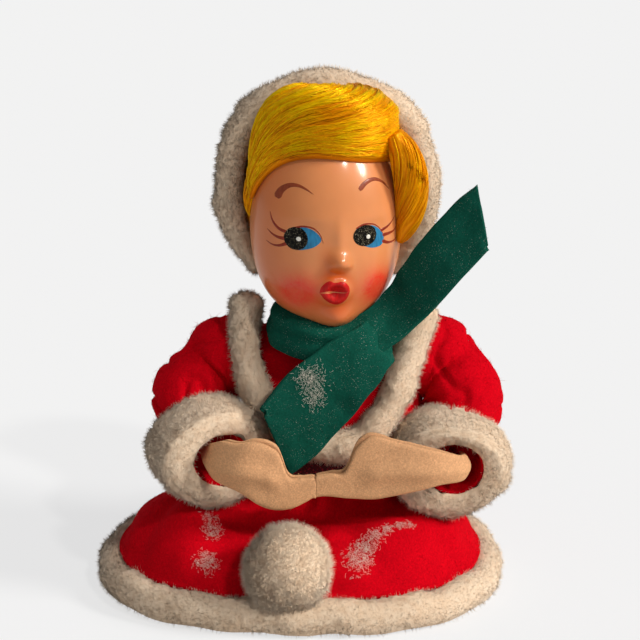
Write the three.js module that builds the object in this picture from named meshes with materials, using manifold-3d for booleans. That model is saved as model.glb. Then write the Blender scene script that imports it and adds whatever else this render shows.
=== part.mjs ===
// A small felt doll that sits in its own spread skirt, with a moulded head in a hood.
// Millimetres. +Z is up, +X is to the viewer's right, and the doll faces -Y.
// The origin is on the base board's underside, between the shoulder joints.
import * as THREE from "three";
import { mergeVertices } from "three/addons/utils/BufferGeometryUtils.js";
import Module from "manifold-3d";

const wasm = await Module();
wasm.setup();

// Sheet goods and fits
const FELT = 1.2;
const HAND_FELT = 1.1;
const CLEARANCE = 0.3;
const WIRE_RADIUS = 0.8;

// Base and stuffed hips
const BASE_RADIUS = 24;
const BASE_BOARD = 1.5;
const BASE_X = -4.5;
const BASE_Y = -1.6;
const HIP_SPREAD = 0.5;
const HIP_WAIST = 0.1;
const HIP_TUCK = 1.6;
const HIP_FOOT_SHARE = 0.25;

// Skirt, which hangs in three broad folds
const SKIRT_SHIFT_X = -5.5;
const SKIRT_SHIFT_Y = -2;
const WAIST_RADIUS = 13.2;
const WAIST_HEIGHT = 26;
const HEM_RADIUS = 35.6;
const HEM_ROLL_OUT = 1;
const HIP_HEIGHT = 20;
const LAP_HEIGHT = 15.6;
const KNEE_HEIGHT = 11.6;
const FOLDS = 3;
const FOLD_DEPTH = 3;
const FOLD_RISE = 4.4;
const FOLD_TURN = THREE.MathUtils.degToRad(33);
const HEM_ROLL = 3.5;
const HEM_ROLL_WAVE = 0.25;
const SKIRT_RINGS = 8;
const SKIRT_SIDES = 36;
const WAISTBAND_DROP = 0.07;
const WAISTBAND_CLOTH = 0.7;

// Pompom at the hem
const POMPOM_RADIUS = 8.7;
const POMPOM_ANGLE = THREE.MathUtils.degToRad(-94.5);
const POMPOM_HEIGHT = 11.6;
const POMPOM_INSET = 1.4;

// Stuffed upper body, as half width and reach to front and back at each height
const TORSO = {
  seat: { height: 20.4, half: 11.3, front: 11.3, back: 11.3 },
  waist: { height: 26, half: 11.3, front: 11.3, back: 10.7 },
  ribs: { height: 31, half: 14.5, front: 13.2, back: 10.6 },
  chest: { height: 38, half: 17, front: 11.8, back: 10 },
  armpit: { height: 43, half: 18, front: 9.6, back: 9 },
  shoulder: { height: 46.4, half: 17.4, front: 8.2, back: 8 },
  collar: { height: 48.2, half: 12.4, front: 7, back: 7 },
};
const TORSO_SQUARENESS = 2.3;
const NECK_STUB_RADIUS = 6.4;
const NECK_STUB_TAPER = 0.4;
const JACKET_HEM = 28;
const JACKET_COLLAR = 48;
const BLOCK_SPARE = 1;
const TORSO_SIDES = 24;

// Fleece edging of the jacket, as the places where its middle passes across and up
const TRIM_RADIUS = 3.1;
const TRIM_SINK = 1.2;
const TRIM_END_SHARE = 0.035;
const TRIM_ROUTE = [
  { across: -15.9, height: 58, back: -3.4 },
  { across: -16.8, height: 51.4, back: -5.6 },
  { across: -16.4, height: 46 },
  { across: -14.8, height: 40.5 },
  { across: -11.2, height: 34.8 },
  { across: -5.6, height: 30.8 },
  { across: 0.7, height: 29.6 },
  { across: 6.6, height: 31.2 },
  { across: 11, height: 36 },
  { across: 14, height: 42 },
  { across: 16.3, height: 47.6, back: -7.6 },
  { across: 17.7, height: 51.8, back: -6 },
  { across: 18.9, height: 56, back: -4 },
];

// Neck and head
const NECK_Y = -1;
const POST_RADIUS = 3.8;
const POST_FOOT = 45;
const POST_TOP = 60;
const POST_CHAMFER = 1;
const FLANGE_RADIUS = 6;
const FLANGE = 1;
const HEAD_SEAT = 54.6;
const STUB_UNDER_SEAT = 1.6;
const NECK_STUB_TOP = HEAD_SEAT - STUB_UNDER_SEAT;
const SEAT_RADIUS = 9;
const HEAD_X = -0.7;
const HEAD_Y = -4;
const HEAD_YAW = THREE.MathUtils.degToRad(10.5);
const HEAD_MIDDLE = 71.5;
const HEAD_HALF_WIDTH = 14.8;
const HEAD_FRONT = 14.7;
const HEAD_BACK = 14.6;
const HEAD_RISE = 22;
const HEAD_DROP = 17.9;
const CHIN_DROP = 2.5;
const CHIN_SPREAD = 0.8;
const HEAD_WALL = 1.5;

// Relief of the face: across and up from the head's middle, spread and height of each swelling
const FACE = {
  nose: { across: 0, up: -4.2, wide: 1.35, high: 1.7, rise: 1.9 },
  bridge: { across: 0, up: 0.2, wide: 1.3, high: 3.2, rise: 0.35 },
  chin: { across: 0, up: -16.4, wide: 3.4, high: 2.6, rise: 1.9 },
  muzzle: { across: -0.3, up: -9.8, wide: 4.2, high: 3, rise: 0.6 },
};
const CHEEK = { across: 7.6, up: -8.4, wide: 3.8, high: 3.6, rise: 0.75 };
const SOCKET = { across: 6.2, up: 0.6, wide: 3.1, high: 2.5, rise: -0.75 };
const EYEBALL = { across: 6.2, up: 0.1, wide: 1.9, high: 1.7, rise: 0.55 };
const MOUTH_ACROSS = -0.75;
const MOUTH_UP = -10.2;
const LIP_HALF_WIDTH = 2.8;
const LIP_HALF_HEIGHT = 2.5;
const LIP_RISE = 0.8;
const MOUTH_HOLLOW = 0.9;

// Hair
const CAP_HAIR = 1.9;
const CAP_FRONT = 4.6;
const CAP_NAPE = 61.5;
const FRINGE_HALF_WIDTH = 17.2;
const FRINGE_AHEAD = 18.6;
const FRINGE_RISE = 28.2;
const FRINGE_SQUARENESS = 2.8;
const FRINGE_EDGE = 0.9;
const FRINGE_LINE = 13.4;
const FRINGE_SWEEP = 8.6;
const FRINGE_HALF_ANGLE = THREE.MathUtils.degToRad(80);
const FRINGE_BACK_LATITUDE = THREE.MathUtils.degToRad(80);
const LOCK_TOP = 9.8;
const LOCKS = {
  left: { azimuth: -80, radius: 2, length: 13, out: 0.5 },
  right: { azimuth: 63, radius: 3, length: 13, out: 2.6 },
};

// Hood
const HOOD_HALF_WIDTH = 19.9;
const HOOD_MIDDLE = 78;
const HOOD_RISE = 21;
const HOOD_DROP = 22;
const HOOD_SQUARENESS = 2.6;
const HOOD_TOP_SQUARENESS = 2.25;
const HOOD_MOUTH_SQUARENESS = 2.15;
const HOOD_FACE_Y = -5.6;
const HOOD_TILT = 0.17;
const HOOD_DEPTH = 20.6;
const HOOD_HEM = 58.6;
const RING_RADIUS = 3.3;
const RING_END_RADIUS = 2.1;
const RING_INSET = 0.9;
const RING_END_SHARE = 0.02;
const RING_OPEN_ANGLE = THREE.MathUtils.degToRad(38);

// Scarf: one strip of felt that is gathered where it goes round the neck
const SCARF_HALF_WIDTH = 7.4;
const NECK_SHARE = 0.42;
const SCARF_FELT = 1.1;
const SCARF_UNDER_SEAT = 2;
const SCARF_HEIGHT = HEAD_SEAT - SCARF_UNDER_SEAT;
const SCARF_SIDE = 9.9;
const SCARF_BACK = 9.3;
const SCARF_STEPS = 56;

// Arms: shoulder joint, cuffs and hands
const SHOULDER_X = 18.6;
const SHOULDER_Z = 43.6;
const SLEEVE_ROOT = 8.5;
const ROOT_CLEARANCE = 0.5;
const ROOT_DEPTH = 6;
const ARM_SWING = THREE.MathUtils.degToRad(30);
const SLEEVE_UPPER = 8;
const SLEEVE_ELBOW = 7.6;
const SLEEVE_WRIST = 6.2;
const SLEEVE_CREASE = 0.45;
const SLEEVE_RINGS = 16;
const SLEEVE_SIDES = 12;
const CUFF_LENGTH = 12;
const CUFF_HALF_WIDTH = 11.7;
const CUFF_HALF_HEIGHT = 10.1;
const CUFF_ROUND = 3.6;
const CUFF_LIP = 1.3;
const MOUTH_RADIUS = 5.2;
const MOUTH_DEPTH = 8;
const HAND_LAYER_GAP = 0.15;
const HAND_ROOT_OPEN = 0.4;
const HANDS_MEET_X = -2.6;
const HANDS_MEET_GAP = 0.3;

// Upper and lower outlines of the hands: along the hand's middle, and up or down from it
const LEFT_HAND_TOP = [
  [0, 2.2],
  [3.6, 3.2],
  [8.6, 5.2],
  [12.3, 5.2],
  [15.4, 6.4],
  [18.2, 6.5],
  [19.8, 5.6],
  [20.6, 3.8],
  [21.4, 1.6],
  [24.3, 1.3],
  [26.7, 2],
];
const LEFT_HAND_BOTTOM = [
  [0, 2],
  [3.6, 2.6],
  [8.5, 3.2],
  [12.7, 4.4],
  [15.6, 6],
  [18.8, 6.4],
  [22.3, 5.2],
  [25.2, 3.1],
  [26.7, 2],
];
const RIGHT_HAND_TOP = [
  [0, 1.8],
  [4, 2.2],
  [11.7, 3.6],
  [16.6, 4.8],
  [21.1, 6],
  [23.4, 7.1],
  [25.9, 7.6],
  [28, 6.2],
  [29, 3.9],
  [30, 2],
  [32.8, 1.9],
  [35.4, 2],
];
const RIGHT_HAND_BOTTOM = [
  [0, 2.4],
  [4, 2.4],
  [11.7, 2.7],
  [16.5, 4],
  [21, 4.9],
  [24.2, 5.1],
  [28.9, 4],
  [35.4, 2.1],
];
const ARMS = {
  left: {
    side: -1,
    upper: [-24.4, -0.8, 41],
    elbow: [-27.6, -5, 36],
    cuff: [-23.4, -15.4, 29.4],
    aim: [0.42, -0.9, -0.05],
    leave: [-20.8, -24.4, 29.2],
    bend: [-16.6, -27.7, 29.6],
    palm: [-11.5, -28, 28.6],
    tip: [HANDS_MEET_X, -27.6, 26.1],
    top: LEFT_HAND_TOP,
    bottom: LEFT_HAND_BOTTOM,
  },
  right: {
    side: 1,
    upper: [24.3, -0.8, 41],
    elbow: [26.8, -5, 35.2],
    cuff: [24.2, -15, 27.8],
    aim: [-0.02, -0.99, -0.08],
    leave: [24.2, -24.4, 28.6],
    bend: [19.8, -27.7, 29.6],
    palm: [9.5, -28.1, 29.4],
    tip: [HANDS_MEET_X, -27.6, 26.4],
    top: RIGHT_HAND_TOP,
    bottom: RIGHT_HAND_BOTTOM,
  },
};

// Colours
const RED_FELT = new THREE.MeshStandardMaterial({ color: 0xc4101c, roughness: 0.95 });
const FLEECE = new THREE.MeshStandardMaterial({ color: 0xf1e9dd, roughness: 1 });
const GREEN_FELT = new THREE.MeshStandardMaterial({ color: 0x12594c, roughness: 0.95 });
const HAND_SKIN_FELT = new THREE.MeshStandardMaterial({ color: 0xd9a878, roughness: 0.95 });
const HEAD_PLASTIC = new THREE.MeshStandardMaterial({ color: 0xe6a274, roughness: 0.3 });
const FLOSS = new THREE.MeshStandardMaterial({ color: 0xe8a413, roughness: 0.4 });
const TAPE = new THREE.MeshStandardMaterial({ color: 0x6d1020, roughness: 0.9 });
const STUFFING = new THREE.MeshStandardMaterial({ color: 0xe3dccb, roughness: 1 });
const BOARD = new THREE.MeshStandardMaterial({ color: 0x9c8a6c, roughness: 0.9 });
const WOOD = new THREE.MeshStandardMaterial({ color: 0xc79f68, roughness: 0.7 });
const STEEL = new THREE.MeshStandardMaterial({ color: 0x8f9499, roughness: 0.4, metalness: 1 });

const TAU = 2 * Math.PI;
const vec = (x, y, z) => new THREE.Vector3(x, y, z);
const mix = THREE.MathUtils.lerp;
const ramp = THREE.MathUtils.smoothstep;
const bell = (d) => Math.exp(-d * d);

// A closed body from points and triangles. Triangles that have shrunk to a line are dropped,
// and the winding is turned so that the faces look out.
function solid(points, faces) {
  const loose = new THREE.BufferGeometry().setFromPoints(points);
  loose.setIndex(faces.flat());
  const merged = mergeVertices(loose, 1e-3);
  const at = merged.attributes.position;
  const index = merged.index.array;
  const kept = [];
  let volume = 0;
  const [a, b, c] = [vec(), vec(), vec()];
  for (let i = 0; i < index.length; i += 3) {
    const [p, q, r] = index.slice(i, i + 3);
    if (p === q || q === r || r === p) continue;
    kept.push([p, q, r]);
    a.fromBufferAttribute(at, p);
    b.fromBufferAttribute(at, q);
    c.fromBufferAttribute(at, r);
    volume += a.dot(b.cross(c));
  }
  const turned = volume < 0 ? kept.map(([p, q, r]) => [p, r, q]) : kept;
  const triVerts = new Uint32Array(turned.flat());
  const vertProperties = new Float32Array(at.array);
  return new wasm.Manifold(new wasm.Mesh({ numProp: 3, vertProperties, triVerts }));
}

// Two triangles for the cell between rows i, i + 1 and columns j, k of a grid.
function cell(faces, rowA, rowB, j, k) {
  faces.push([rowA + j, rowA + k, rowB + k], [rowA + j, rowB + k, rowB + j]);
}

// A body round a line: place(u, v) gives its surface, u along and v once around.
// Both ends are closed by a fan.
function tube(place, along, around) {
  const points = [];
  const faces = [];
  for (let i = 0; i <= along; i++) {
    for (let j = 0; j < around; j++) points.push(place(i / along, j / around));
  }
  for (let i = 0; i < along; i++) {
    for (let j = 0; j < around; j++) {
      cell(faces, i * around, (i + 1) * around, j, (j + 1) % around);
    }
  }
  for (const row of [0, along]) {
    const rim = points.slice(row * around, (row + 1) * around);
    const middle = rim.reduce((sum, p) => sum.add(p), vec(0, 0, 0)).divideScalar(around);
    const hub = points.push(middle) - 1;
    for (let j = 0; j < around; j++) {
      const pair = [row * around + j, row * around + ((j + 1) % around)];
      faces.push(row ? [hub, pair[0], pair[1]] : [hub, pair[1], pair[0]]);
    }
  }
  return solid(points, faces);
}

// A wall that is open at both ends, between an outer and an inner surface.
function openWall(outer, inner, along, around) {
  const points = [];
  const faces = [];
  const rows = 2 * (along + 1);
  for (let i = 0; i <= along; i++) {
    for (let j = 0; j < around; j++) points.push(outer(i / along, j / around));
  }
  for (let i = along; i >= 0; i--) {
    for (let j = 0; j < around; j++) points.push(inner(i / along, j / around));
  }
  for (let i = 0; i < rows; i++) {
    for (let j = 0; j < around; j++) {
      cell(faces, i * around, ((i + 1) % rows) * around, j, (j + 1) % around);
    }
  }
  return solid(points, faces);
}

// A roll that closes on itself: place(u, v), both once around.
function loop(place, along, around) {
  const points = [];
  const faces = [];
  for (let i = 0; i < along; i++) {
    for (let j = 0; j < around; j++) points.push(place(i / along, j / around));
  }
  for (let i = 0; i < along; i++) {
    for (let j = 0; j < around; j++) {
      cell(faces, i * around, ((i + 1) % along) * around, j, (j + 1) % around);
    }
  }
  return solid(points, faces);
}

// A sheet: front(u, v) and back(u, v) joined along all four edges.
function sheet(front, back, along, across) {
  const ring = (u) => {
    const line = [];
    for (let j = 0; j <= across; j++) line.push(front(u, j / across));
    for (let j = across; j >= 0; j--) line.push(back(u, j / across));
    return line;
  };
  const rings = [];
  for (let i = 0; i <= along; i++) rings.push(ring(i / along));
  const size = rings[0].length;
  const points = rings.flat();
  const faces = [];
  for (let i = 0; i < along; i++) {
    for (let j = 0; j < size; j++) cell(faces, i * size, (i + 1) * size, j, (j + 1) % size);
  }
  for (const row of [0, along]) {
    for (let j = 0; j < across; j++) {
      const start = row * size;
      const quad = [start + j, start + j + 1, start + size - 2 - j, start + size - 1 - j];
      if (row) quad.reverse();
      faces.push([quad[0], quad[2], quad[1]], [quad[0], quad[3], quad[2]]);
    }
  }
  return solid(points, faces);
}

// A turned body about the vertical through (x, y): profile holds [radius, height] pairs.
function turned(profile, around, x = 0, y = 0) {
  const outline = profile.map(([r, z]) => new THREE.Vector2(r, z));
  const geometry = new THREE.LatheGeometry(outline, around);
  geometry.deleteAttribute("normal");
  geometry.deleteAttribute("uv");
  geometry.rotateX(Math.PI / 2);
  geometry.translate(x, y, 0);
  const at = geometry.attributes.position;
  const points = [];
  for (let i = 0; i < at.count; i++) points.push(vec().fromBufferAttribute(at, i));
  const faces = [];
  const index = geometry.index.array;
  for (let i = 0; i < index.length; i += 3) faces.push([...index.slice(i, i + 3)]);
  return solid(points, faces);
}

// The surface moved out along its own normal, found from small steps in u and v.
function offset(place, distance, outwardFrom) {
  const step = 1e-3;
  return (u, v) => {
    const p = place(u, v);
    const du = place(u + step, v).sub(place(u - step, v));
    const dv = place(u, v + step).sub(place(u, v - step));
    const normal = du.cross(dv).normalize();
    if (normal.dot(p.clone().sub(outwardFrom)) < 0) normal.negate();
    return p.addScaledVector(normal, distance);
  };
}

// A body swept along a curve, with a radius at each place, measured by arc length.
function swept(curve, radius, along, around) {
  const frames = framesOf(curve);
  return tube((u, v) => onTube(curve, frames, u, v, radius), along, around);
}

const FRAME_STEPS = 200;

function framesOf(curve) {
  return curve.computeFrenetFrames(FRAME_STEPS, false);
}

// How full a roll is near its end, where near runs from 0 to 1, like a quarter circle.
function roundedEnd(near, least) {
  const short = 1 - Math.min(1, near);
  return Math.max(least, Math.sqrt(1 - short * short));
}

// The point at arc share s and turn v of a tube about the curve.
function onTube(curve, frames, s, v, radius) {
  const k = Math.round(THREE.MathUtils.clamp(s, 0, 1) * FRAME_STEPS);
  const r = radius(s, v);
  return curve
    .getPointAt(THREE.MathUtils.clamp(s, 0, 1))
    .addScaledVector(frames.normals[k], r * Math.cos(TAU * v))
    .addScaledVector(frames.binormals[k], r * Math.sin(TAU * v));
}

// A smooth line through stations that share a height and other sizes. It runs on straight
// past both ends.
function smoothStations(stations) {
  const keys = Object.keys(stations[0]).filter((key) => key !== "height");
  const heights = stations.map((s) => s.height);
  const values = stations.flatMap((s) => keys.map((key) => s[key]));
  const line = new THREE.CubicInterpolant(heights, values, keys.length);
  const [low, high] = [heights[0], heights.at(-1)];
  const step = (high - low) / 100;
  return (z) => {
    const near = THREE.MathUtils.clamp(z, low, high);
    const inside = near + (z < low ? step : -step);
    const found = [...line.evaluate(near)];
    const slope = [...line.evaluate(inside)].map((v, k) => (found[k] - v) / (near - inside));
    return Object.fromEntries(keys.map((key, k) => [key, found[k] + slope[k] * (z - near)]));
  };
}

// Skirt: t runs from waist to hem, turn once around
const skirtLine = smoothStations([
  { height: 0, z: WAIST_HEIGHT },
  { height: 0.12, z: HIP_HEIGHT },
  { height: 0.58, z: LAP_HEIGHT },
  { height: 0.86, z: KNEE_HEIGHT },
  { height: 1, z: 2 * HEM_ROLL + CLEARANCE - HEM_ROLL_WAVE },
]);

function foldAt(angle) {
  return Math.cos(FOLDS * (angle + FOLD_TURN));
}

function skirtPoint(t, turn) {
  const angle = TAU * turn;
  const shift = ramp(t, 0, 0.7);
  const radius = mix(WAIST_RADIUS, HEM_RADIUS + FOLD_DEPTH * foldAt(angle), t);
  const swell = Math.sin(Math.PI * THREE.MathUtils.clamp(t, 0, 1) ** 1.6) ** 2;
  const rise = (FOLD_RISE / 2) * foldAt(angle) * swell;
  return vec(
    SKIRT_SHIFT_X * shift + radius * Math.cos(angle),
    SKIRT_SHIFT_Y * shift + radius * Math.sin(angle),
    skirtLine(t).z + rise,
  );
}

const SKIRT_INSIDE = vec(SKIRT_SHIFT_X / 2, 0, -HEM_RADIUS);
const skirtSurface = (distance) => offset(skirtPoint, distance, SKIRT_INSIDE);

function skirtWall() {
  return openWall(skirtPoint, skirtSurface(-FELT), SKIRT_RINGS, SKIRT_SIDES);
}

// Everything under the skirt's outside, for cutting what lies on it.
function skirtBlock() {
  const top = skirtSurface(CLEARANCE);
  const rings = SKIRT_RINGS + 1;
  return tube((u, v) => top((u * rings) / SKIRT_RINGS, v), rings, SKIRT_SIDES);
}

// The roll follows the hem and is pressed flat where it lies on the ground.
function hemRoll(grow) {
  return loop(
    (u, v) => {
      const edge = skirtPoint(1, u);
      const angle = TAU * u;
      const out = vec(Math.cos(angle), Math.sin(angle), 0);
      const wave = HEM_ROLL_WAVE * Math.sin(17 * angle) * Math.sin(TAU * v);
      const radius = HEM_ROLL + grow + wave;
      const height = HEM_ROLL - HEM_ROLL_WAVE + radius * Math.sin(TAU * v);
      edge.addScaledVector(out, HEM_ROLL_OUT + radius * Math.cos(TAU * v));
      return edge.setZ(Math.max(0, height));
    },
    50,
    8,
  );
}

function waistband() {
  const outside = skirtSurface(2 * CLEARANCE + WAISTBAND_CLOTH);
  const inside = skirtSurface(2 * CLEARANCE);
  const down = (place) => (u, v) => place(WAISTBAND_DROP * u, v);
  return openWall(down(outside), down(inside), 1, SKIRT_SIDES);
}

// The hips fill the skirt from the board up, and are flat where they lie on it.
function hips() {
  const under = skirtSurface(-FELT - CLEARANCE);
  const floor = BASE_BOARD + CLEARANCE;
  const place = (u, v) => {
    if (u < HIP_FOOT_SHARE) {
      const edge = under(HIP_SPREAD, v);
      const k = u / HIP_FOOT_SHARE;
      const tuck = (HIP_TUCK / BASE_RADIUS) * (1 - Math.sin((k * Math.PI) / 2));
      return edge.setZ(mix(floor, edge.z, k)).lerp(vec(BASE_X, BASE_Y, edge.z), tuck);
    }
    const up = (u - HIP_FOOT_SHARE) / (1 - HIP_FOOT_SHARE);
    return under(mix(HIP_SPREAD, HIP_WAIST, up), v);
  };
  return tube(place, 10, 28);
}

const HIP_TOP = skirtSurface(-FELT - CLEARANCE)(HIP_WAIST, 0.25).z;

function baseBoard() {
  return turned(
    [
      [0, 0],
      [BASE_RADIUS, 0],
      [BASE_RADIUS, BASE_BOARD],
      [0, BASE_BOARD],
    ],
    40,
    BASE_X,
    BASE_Y,
  );
}

// Pompom: a ball with shallow dimples, pressed against the skirt and the roll
function pompom() {
  const out = HEM_RADIUS + FOLD_DEPTH * foldAt(POMPOM_ANGLE) - POMPOM_INSET;
  const centre = vec(
    SKIRT_SHIFT_X + out * Math.cos(POMPOM_ANGLE),
    SKIRT_SHIFT_Y + out * Math.sin(POMPOM_ANGLE),
    POMPOM_HEIGHT,
  );
  return tube(
    (u, v) => {
      const latitude = Math.PI * (u - 0.5);
      const dimple = 1 + 0.018 * Math.sin(5 * TAU * v) * Math.sin(6 * latitude);
      const r = POMPOM_RADIUS * dimple;
      return vec(
        centre.x + r * Math.cos(latitude) * Math.cos(TAU * v),
        centre.y + r * Math.cos(latitude) * Math.sin(TAU * v),
        centre.z + r * Math.sin(latitude),
      );
    },
    10,
    16,
  );
}

// Upper body
const torsoSize = smoothStations(Object.values(TORSO));

function torsoPoint(z, turn) {
  const size = torsoSize(z);
  const angle = TAU * turn;
  const [c, s] = [Math.cos(angle), Math.sin(angle)];
  const depth = s < 0 ? size.front : size.back;
  const power = 2 / TORSO_SQUARENESS;
  return vec(
    size.half * Math.sign(c) * Math.abs(c) ** power,
    depth * Math.sign(s) * Math.abs(s) ** power,
    z,
  );
}

const torsoAt = (low, high, distance) => {
  const place = (u, v) => torsoPoint(mix(low, high, u), v);
  const middle = vec(0, 0, (low + high) / 2);
  return distance ? offset(place, distance, middle) : place;
};

// How far forward the jacket's face is at a place across and up.
function jacketFront(across, height) {
  const size = torsoSize(height);
  const share = Math.min(1, Math.abs(across) / (size.half + FELT));
  const round = (1 - share ** TORSO_SQUARENESS) ** (1 / TORSO_SQUARENESS);
  return -(size.front + CLEARANCE + FELT) * round;
}

function shoulderPoint(side) {
  return vec(side * SHOULDER_X, 0, SHOULDER_Z);
}

function ball(centre, radius, rings) {
  return tube(
    (u, v) => {
      const latitude = Math.PI * (u - 0.5);
      const flat = radius * Math.cos(latitude);
      const side = vec(flat * Math.cos(TAU * v), flat * Math.sin(TAU * v), 0);
      return side.add(vec(0, 0, radius * Math.sin(latitude))).add(centre);
    },
    rings,
    2 * rings,
  );
}

// The body has a round hollow at each shoulder, in which the sleeve's rounded root turns.
function cutArmholes(body) {
  const room = SLEEVE_ROOT + ROOT_CLEARANCE;
  return body
    .subtract(ball(shoulderPoint(-1), room, 8))
    .subtract(ball(shoulderPoint(1), room, 8));
}

// The fixed wire runs across the stuffing from shoulder to shoulder.
function wireAcross(grow) {
  const end = SHOULDER_X - CLEARANCE / 2 - WIRE_RADIUS / 2 + grow;
  const line = new THREE.LineCurve3(vec(-end, 0, SHOULDER_Z), vec(end, 0, SHOULDER_Z));
  return swept(line, () => WIRE_RADIUS + grow, 1, 8);
}

function torsoCore() {
  const low = HIP_TOP + CLEARANCE;
  const trunk = tube(torsoAt(low, TORSO.collar.height, 0), 9, TORSO_SIDES);
  const stub = turned(
    [
      [0, TORSO.shoulder.height],
      [NECK_STUB_RADIUS, TORSO.shoulder.height],
      [NECK_STUB_RADIUS - NECK_STUB_TAPER, NECK_STUB_TOP],
      [0, NECK_STUB_TOP],
    ],
    20,
    0,
    NECK_Y,
  );
  const hole = turned(
    [
      [0, POST_FOOT - CLEARANCE],
      [POST_RADIUS + CLEARANCE, POST_FOOT - CLEARANCE],
      [POST_RADIUS + CLEARANCE, POST_TOP],
      [0, POST_TOP],
    ],
    20,
    0,
    NECK_Y,
  );
  return cutArmholes(trunk.add(stub).subtract(hole)).subtract(wireAcross(CLEARANCE));
}

function jacketWall() {
  const outer = torsoAt(JACKET_HEM, JACKET_COLLAR, CLEARANCE + FELT);
  const inner = torsoAt(JACKET_HEM, JACKET_COLLAR, CLEARANCE);
  return cutArmholes(openWall(outer, inner, 6, TORSO_SIDES));
}

// The full outside of the jacket, for cutting what lies on it.
function jacketBlock() {
  const [low, high] = [JACKET_HEM - BLOCK_SPARE, JACKET_COLLAR + BLOCK_SPARE];
  return tube(torsoAt(low, high, FELT + 2 * CLEARANCE), 7, TORSO_SIDES);
}

const trimRoute = new THREE.CatmullRomCurve3(
  TRIM_ROUTE.map(({ across, height, back }) => {
    const rise = TRIM_RADIUS - TRIM_SINK;
    return vec(across, back ?? jacketFront(across, height) - rise, height);
  }),
  false,
  "centripetal",
);

// The front panel lies inside the edging's route; the outline is that route closed at the top.
function panelPrism(grow) {
  const outline = new THREE.Shape();
  const steps = 26;
  for (let i = 0; i <= steps; i++) {
    const p = trimRoute.getPointAt(i / steps);
    const side = THREE.MathUtils.clamp(p.x / 10, -1, 1);
    const x = p.x + side * grow;
    const z = p.z - grow * (1 - Math.abs(side));
    if (i) outline.lineTo(x, z);
    else outline.moveTo(x, z);
  }
  outline.closePath();
  const depth = TORSO.ribs.front * 2;
  const geometry = new THREE.ExtrudeGeometry(outline, { depth, bevelEnabled: false });
  geometry.deleteAttribute("normal");
  geometry.deleteAttribute("uv");
  geometry.rotateX(Math.PI / 2);
  const at = geometry.attributes.position;
  const points = [];
  for (let i = 0; i < at.count; i++) points.push(vec().fromBufferAttribute(at, i));
  const faces = [];
  for (let i = 0; i < at.count; i += 3) faces.push([i, i + 1, i + 2]);
  return solid(points, faces);
}

function jacketTrim() {
  const radius = (s) => {
    const lump = 1.14 - 0.14 * ramp(s, 0, 0.14) + 0.03 * Math.sin(60 * s);
    return TRIM_RADIUS * lump * roundedEnd(Math.min(s, 1 - s) / TRIM_END_SHARE, 0.25);
  };
  return swept(trimRoute, radius, 38, 8);
}

// Neck post, with the flange that the head turns on
function neckPost() {
  const seat = HEAD_SEAT - CLEARANCE;
  return turned(
    [
      [0, POST_FOOT],
      [POST_RADIUS, POST_FOOT],
      [POST_RADIUS, seat - FLANGE],
      [FLANGE_RADIUS, seat - FLANGE],
      [FLANGE_RADIUS, seat],
      [POST_RADIUS, seat],
      [POST_RADIUS, POST_TOP - POST_CHAMFER],
      [POST_RADIUS - POST_CHAMFER, POST_TOP],
      [0, POST_TOP],
    ],
    20,
    0,
    NECK_Y,
  );
}

// Head: azimuth 0 looks where the face looks, and latitude is up from the head's middle.
function swelling(shape, across, up) {
  return shape.rise * bell((across - shape.across) / shape.wide) * bell((up - shape.up) / shape.high);
}

function pairOf(shape, across, up) {
  return swelling(shape, Math.abs(across), up);
}

function lips(across, up) {
  const x = (across - MOUTH_ACROSS) / LIP_HALF_WIDTH;
  const z = (up - MOUTH_UP) / LIP_HALF_HEIGHT;
  const reach = Math.hypot(x, z);
  const rim = LIP_RISE * bell((reach - 0.78) / 0.34);
  const hollow = MOUTH_HOLLOW * bell(reach / 0.48);
  return rim - hollow;
}

function faceRelief(across, up) {
  let rise = lips(across, up);
  for (const shape of Object.values(FACE)) rise += swelling(shape, across, up);
  for (const shape of [CHEEK, SOCKET, EYEBALL]) rise += pairOf(shape, across, up);
  return rise;
}

function headPoint(azimuth, latitude, grow, relief) {
  const flat = Math.max(0, Math.cos(latitude)) ** 0.94;
  const forward = Math.cos(azimuth) > 0 ? HEAD_FRONT : HEAD_BACK;
  const chin = relief ? CHIN_DROP * bell(azimuth / CHIN_SPREAD) : 0;
  const tall = latitude > 0 ? HEAD_RISE : HEAD_DROP + chin;
  const across = (HEAD_HALF_WIDTH + grow) * Math.sin(azimuth) * flat;
  const up = (tall + grow) * Math.sin(latitude);
  let ahead = (forward + grow) * Math.cos(azimuth) * flat;
  if (relief && Math.cos(azimuth) > 0) {
    ahead += faceRelief(across, up) * ramp(Math.cos(azimuth) * flat, 0.1, 0.55);
  }
  return headFrame(across, ahead, up);
}

// From across, ahead and up, in the head's own directions, to the doll's frame.
function headFrame(across, ahead, up) {
  const [c, s] = [Math.cos(HEAD_YAW), Math.sin(HEAD_YAW)];
  return vec(
    HEAD_X + across * c + ahead * s,
    HEAD_Y + across * s - ahead * c,
    HEAD_MIDDLE + up,
  );
}

// The columns crowd together at the face where it has its relief.
function headBody(grow, relief, along, around) {
  const crowd = relief ? 1.45 : 1;
  return tube(
    (u, v) => {
      const t = 2 * v - 1;
      const azimuth = Math.PI * Math.sign(t) * Math.abs(t) ** crowd;
      return headPoint(azimuth, Math.PI * (u - 0.5), grow, relief);
    },
    along,
    around,
  );
}

// Under the chin the shell is cut flat round the neck, where it sits on the post's flange.
function headShell() {
  const hole = turned(
    [
      [0, 0],
      [POST_RADIUS + CLEARANCE, 0],
      [POST_RADIUS + CLEARANCE, HEAD_MIDDLE],
      [0, HEAD_MIDDLE],
    ],
    20,
    0,
    NECK_Y,
  );
  const under = HEAD_SEAT - HEAD_DROP;
  const seat = turned(
    [
      [0, under],
      [SEAT_RADIUS, under],
      [SEAT_RADIUS, HEAD_SEAT],
      [0, HEAD_SEAT],
    ],
    24,
    0,
    NECK_Y,
  );
  return headBody(0, true, 30, 38)
    .subtract(headBody(-HEAD_WALL, false, 10, 16))
    .subtract(seat)
    .subtract(hole);
}

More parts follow.
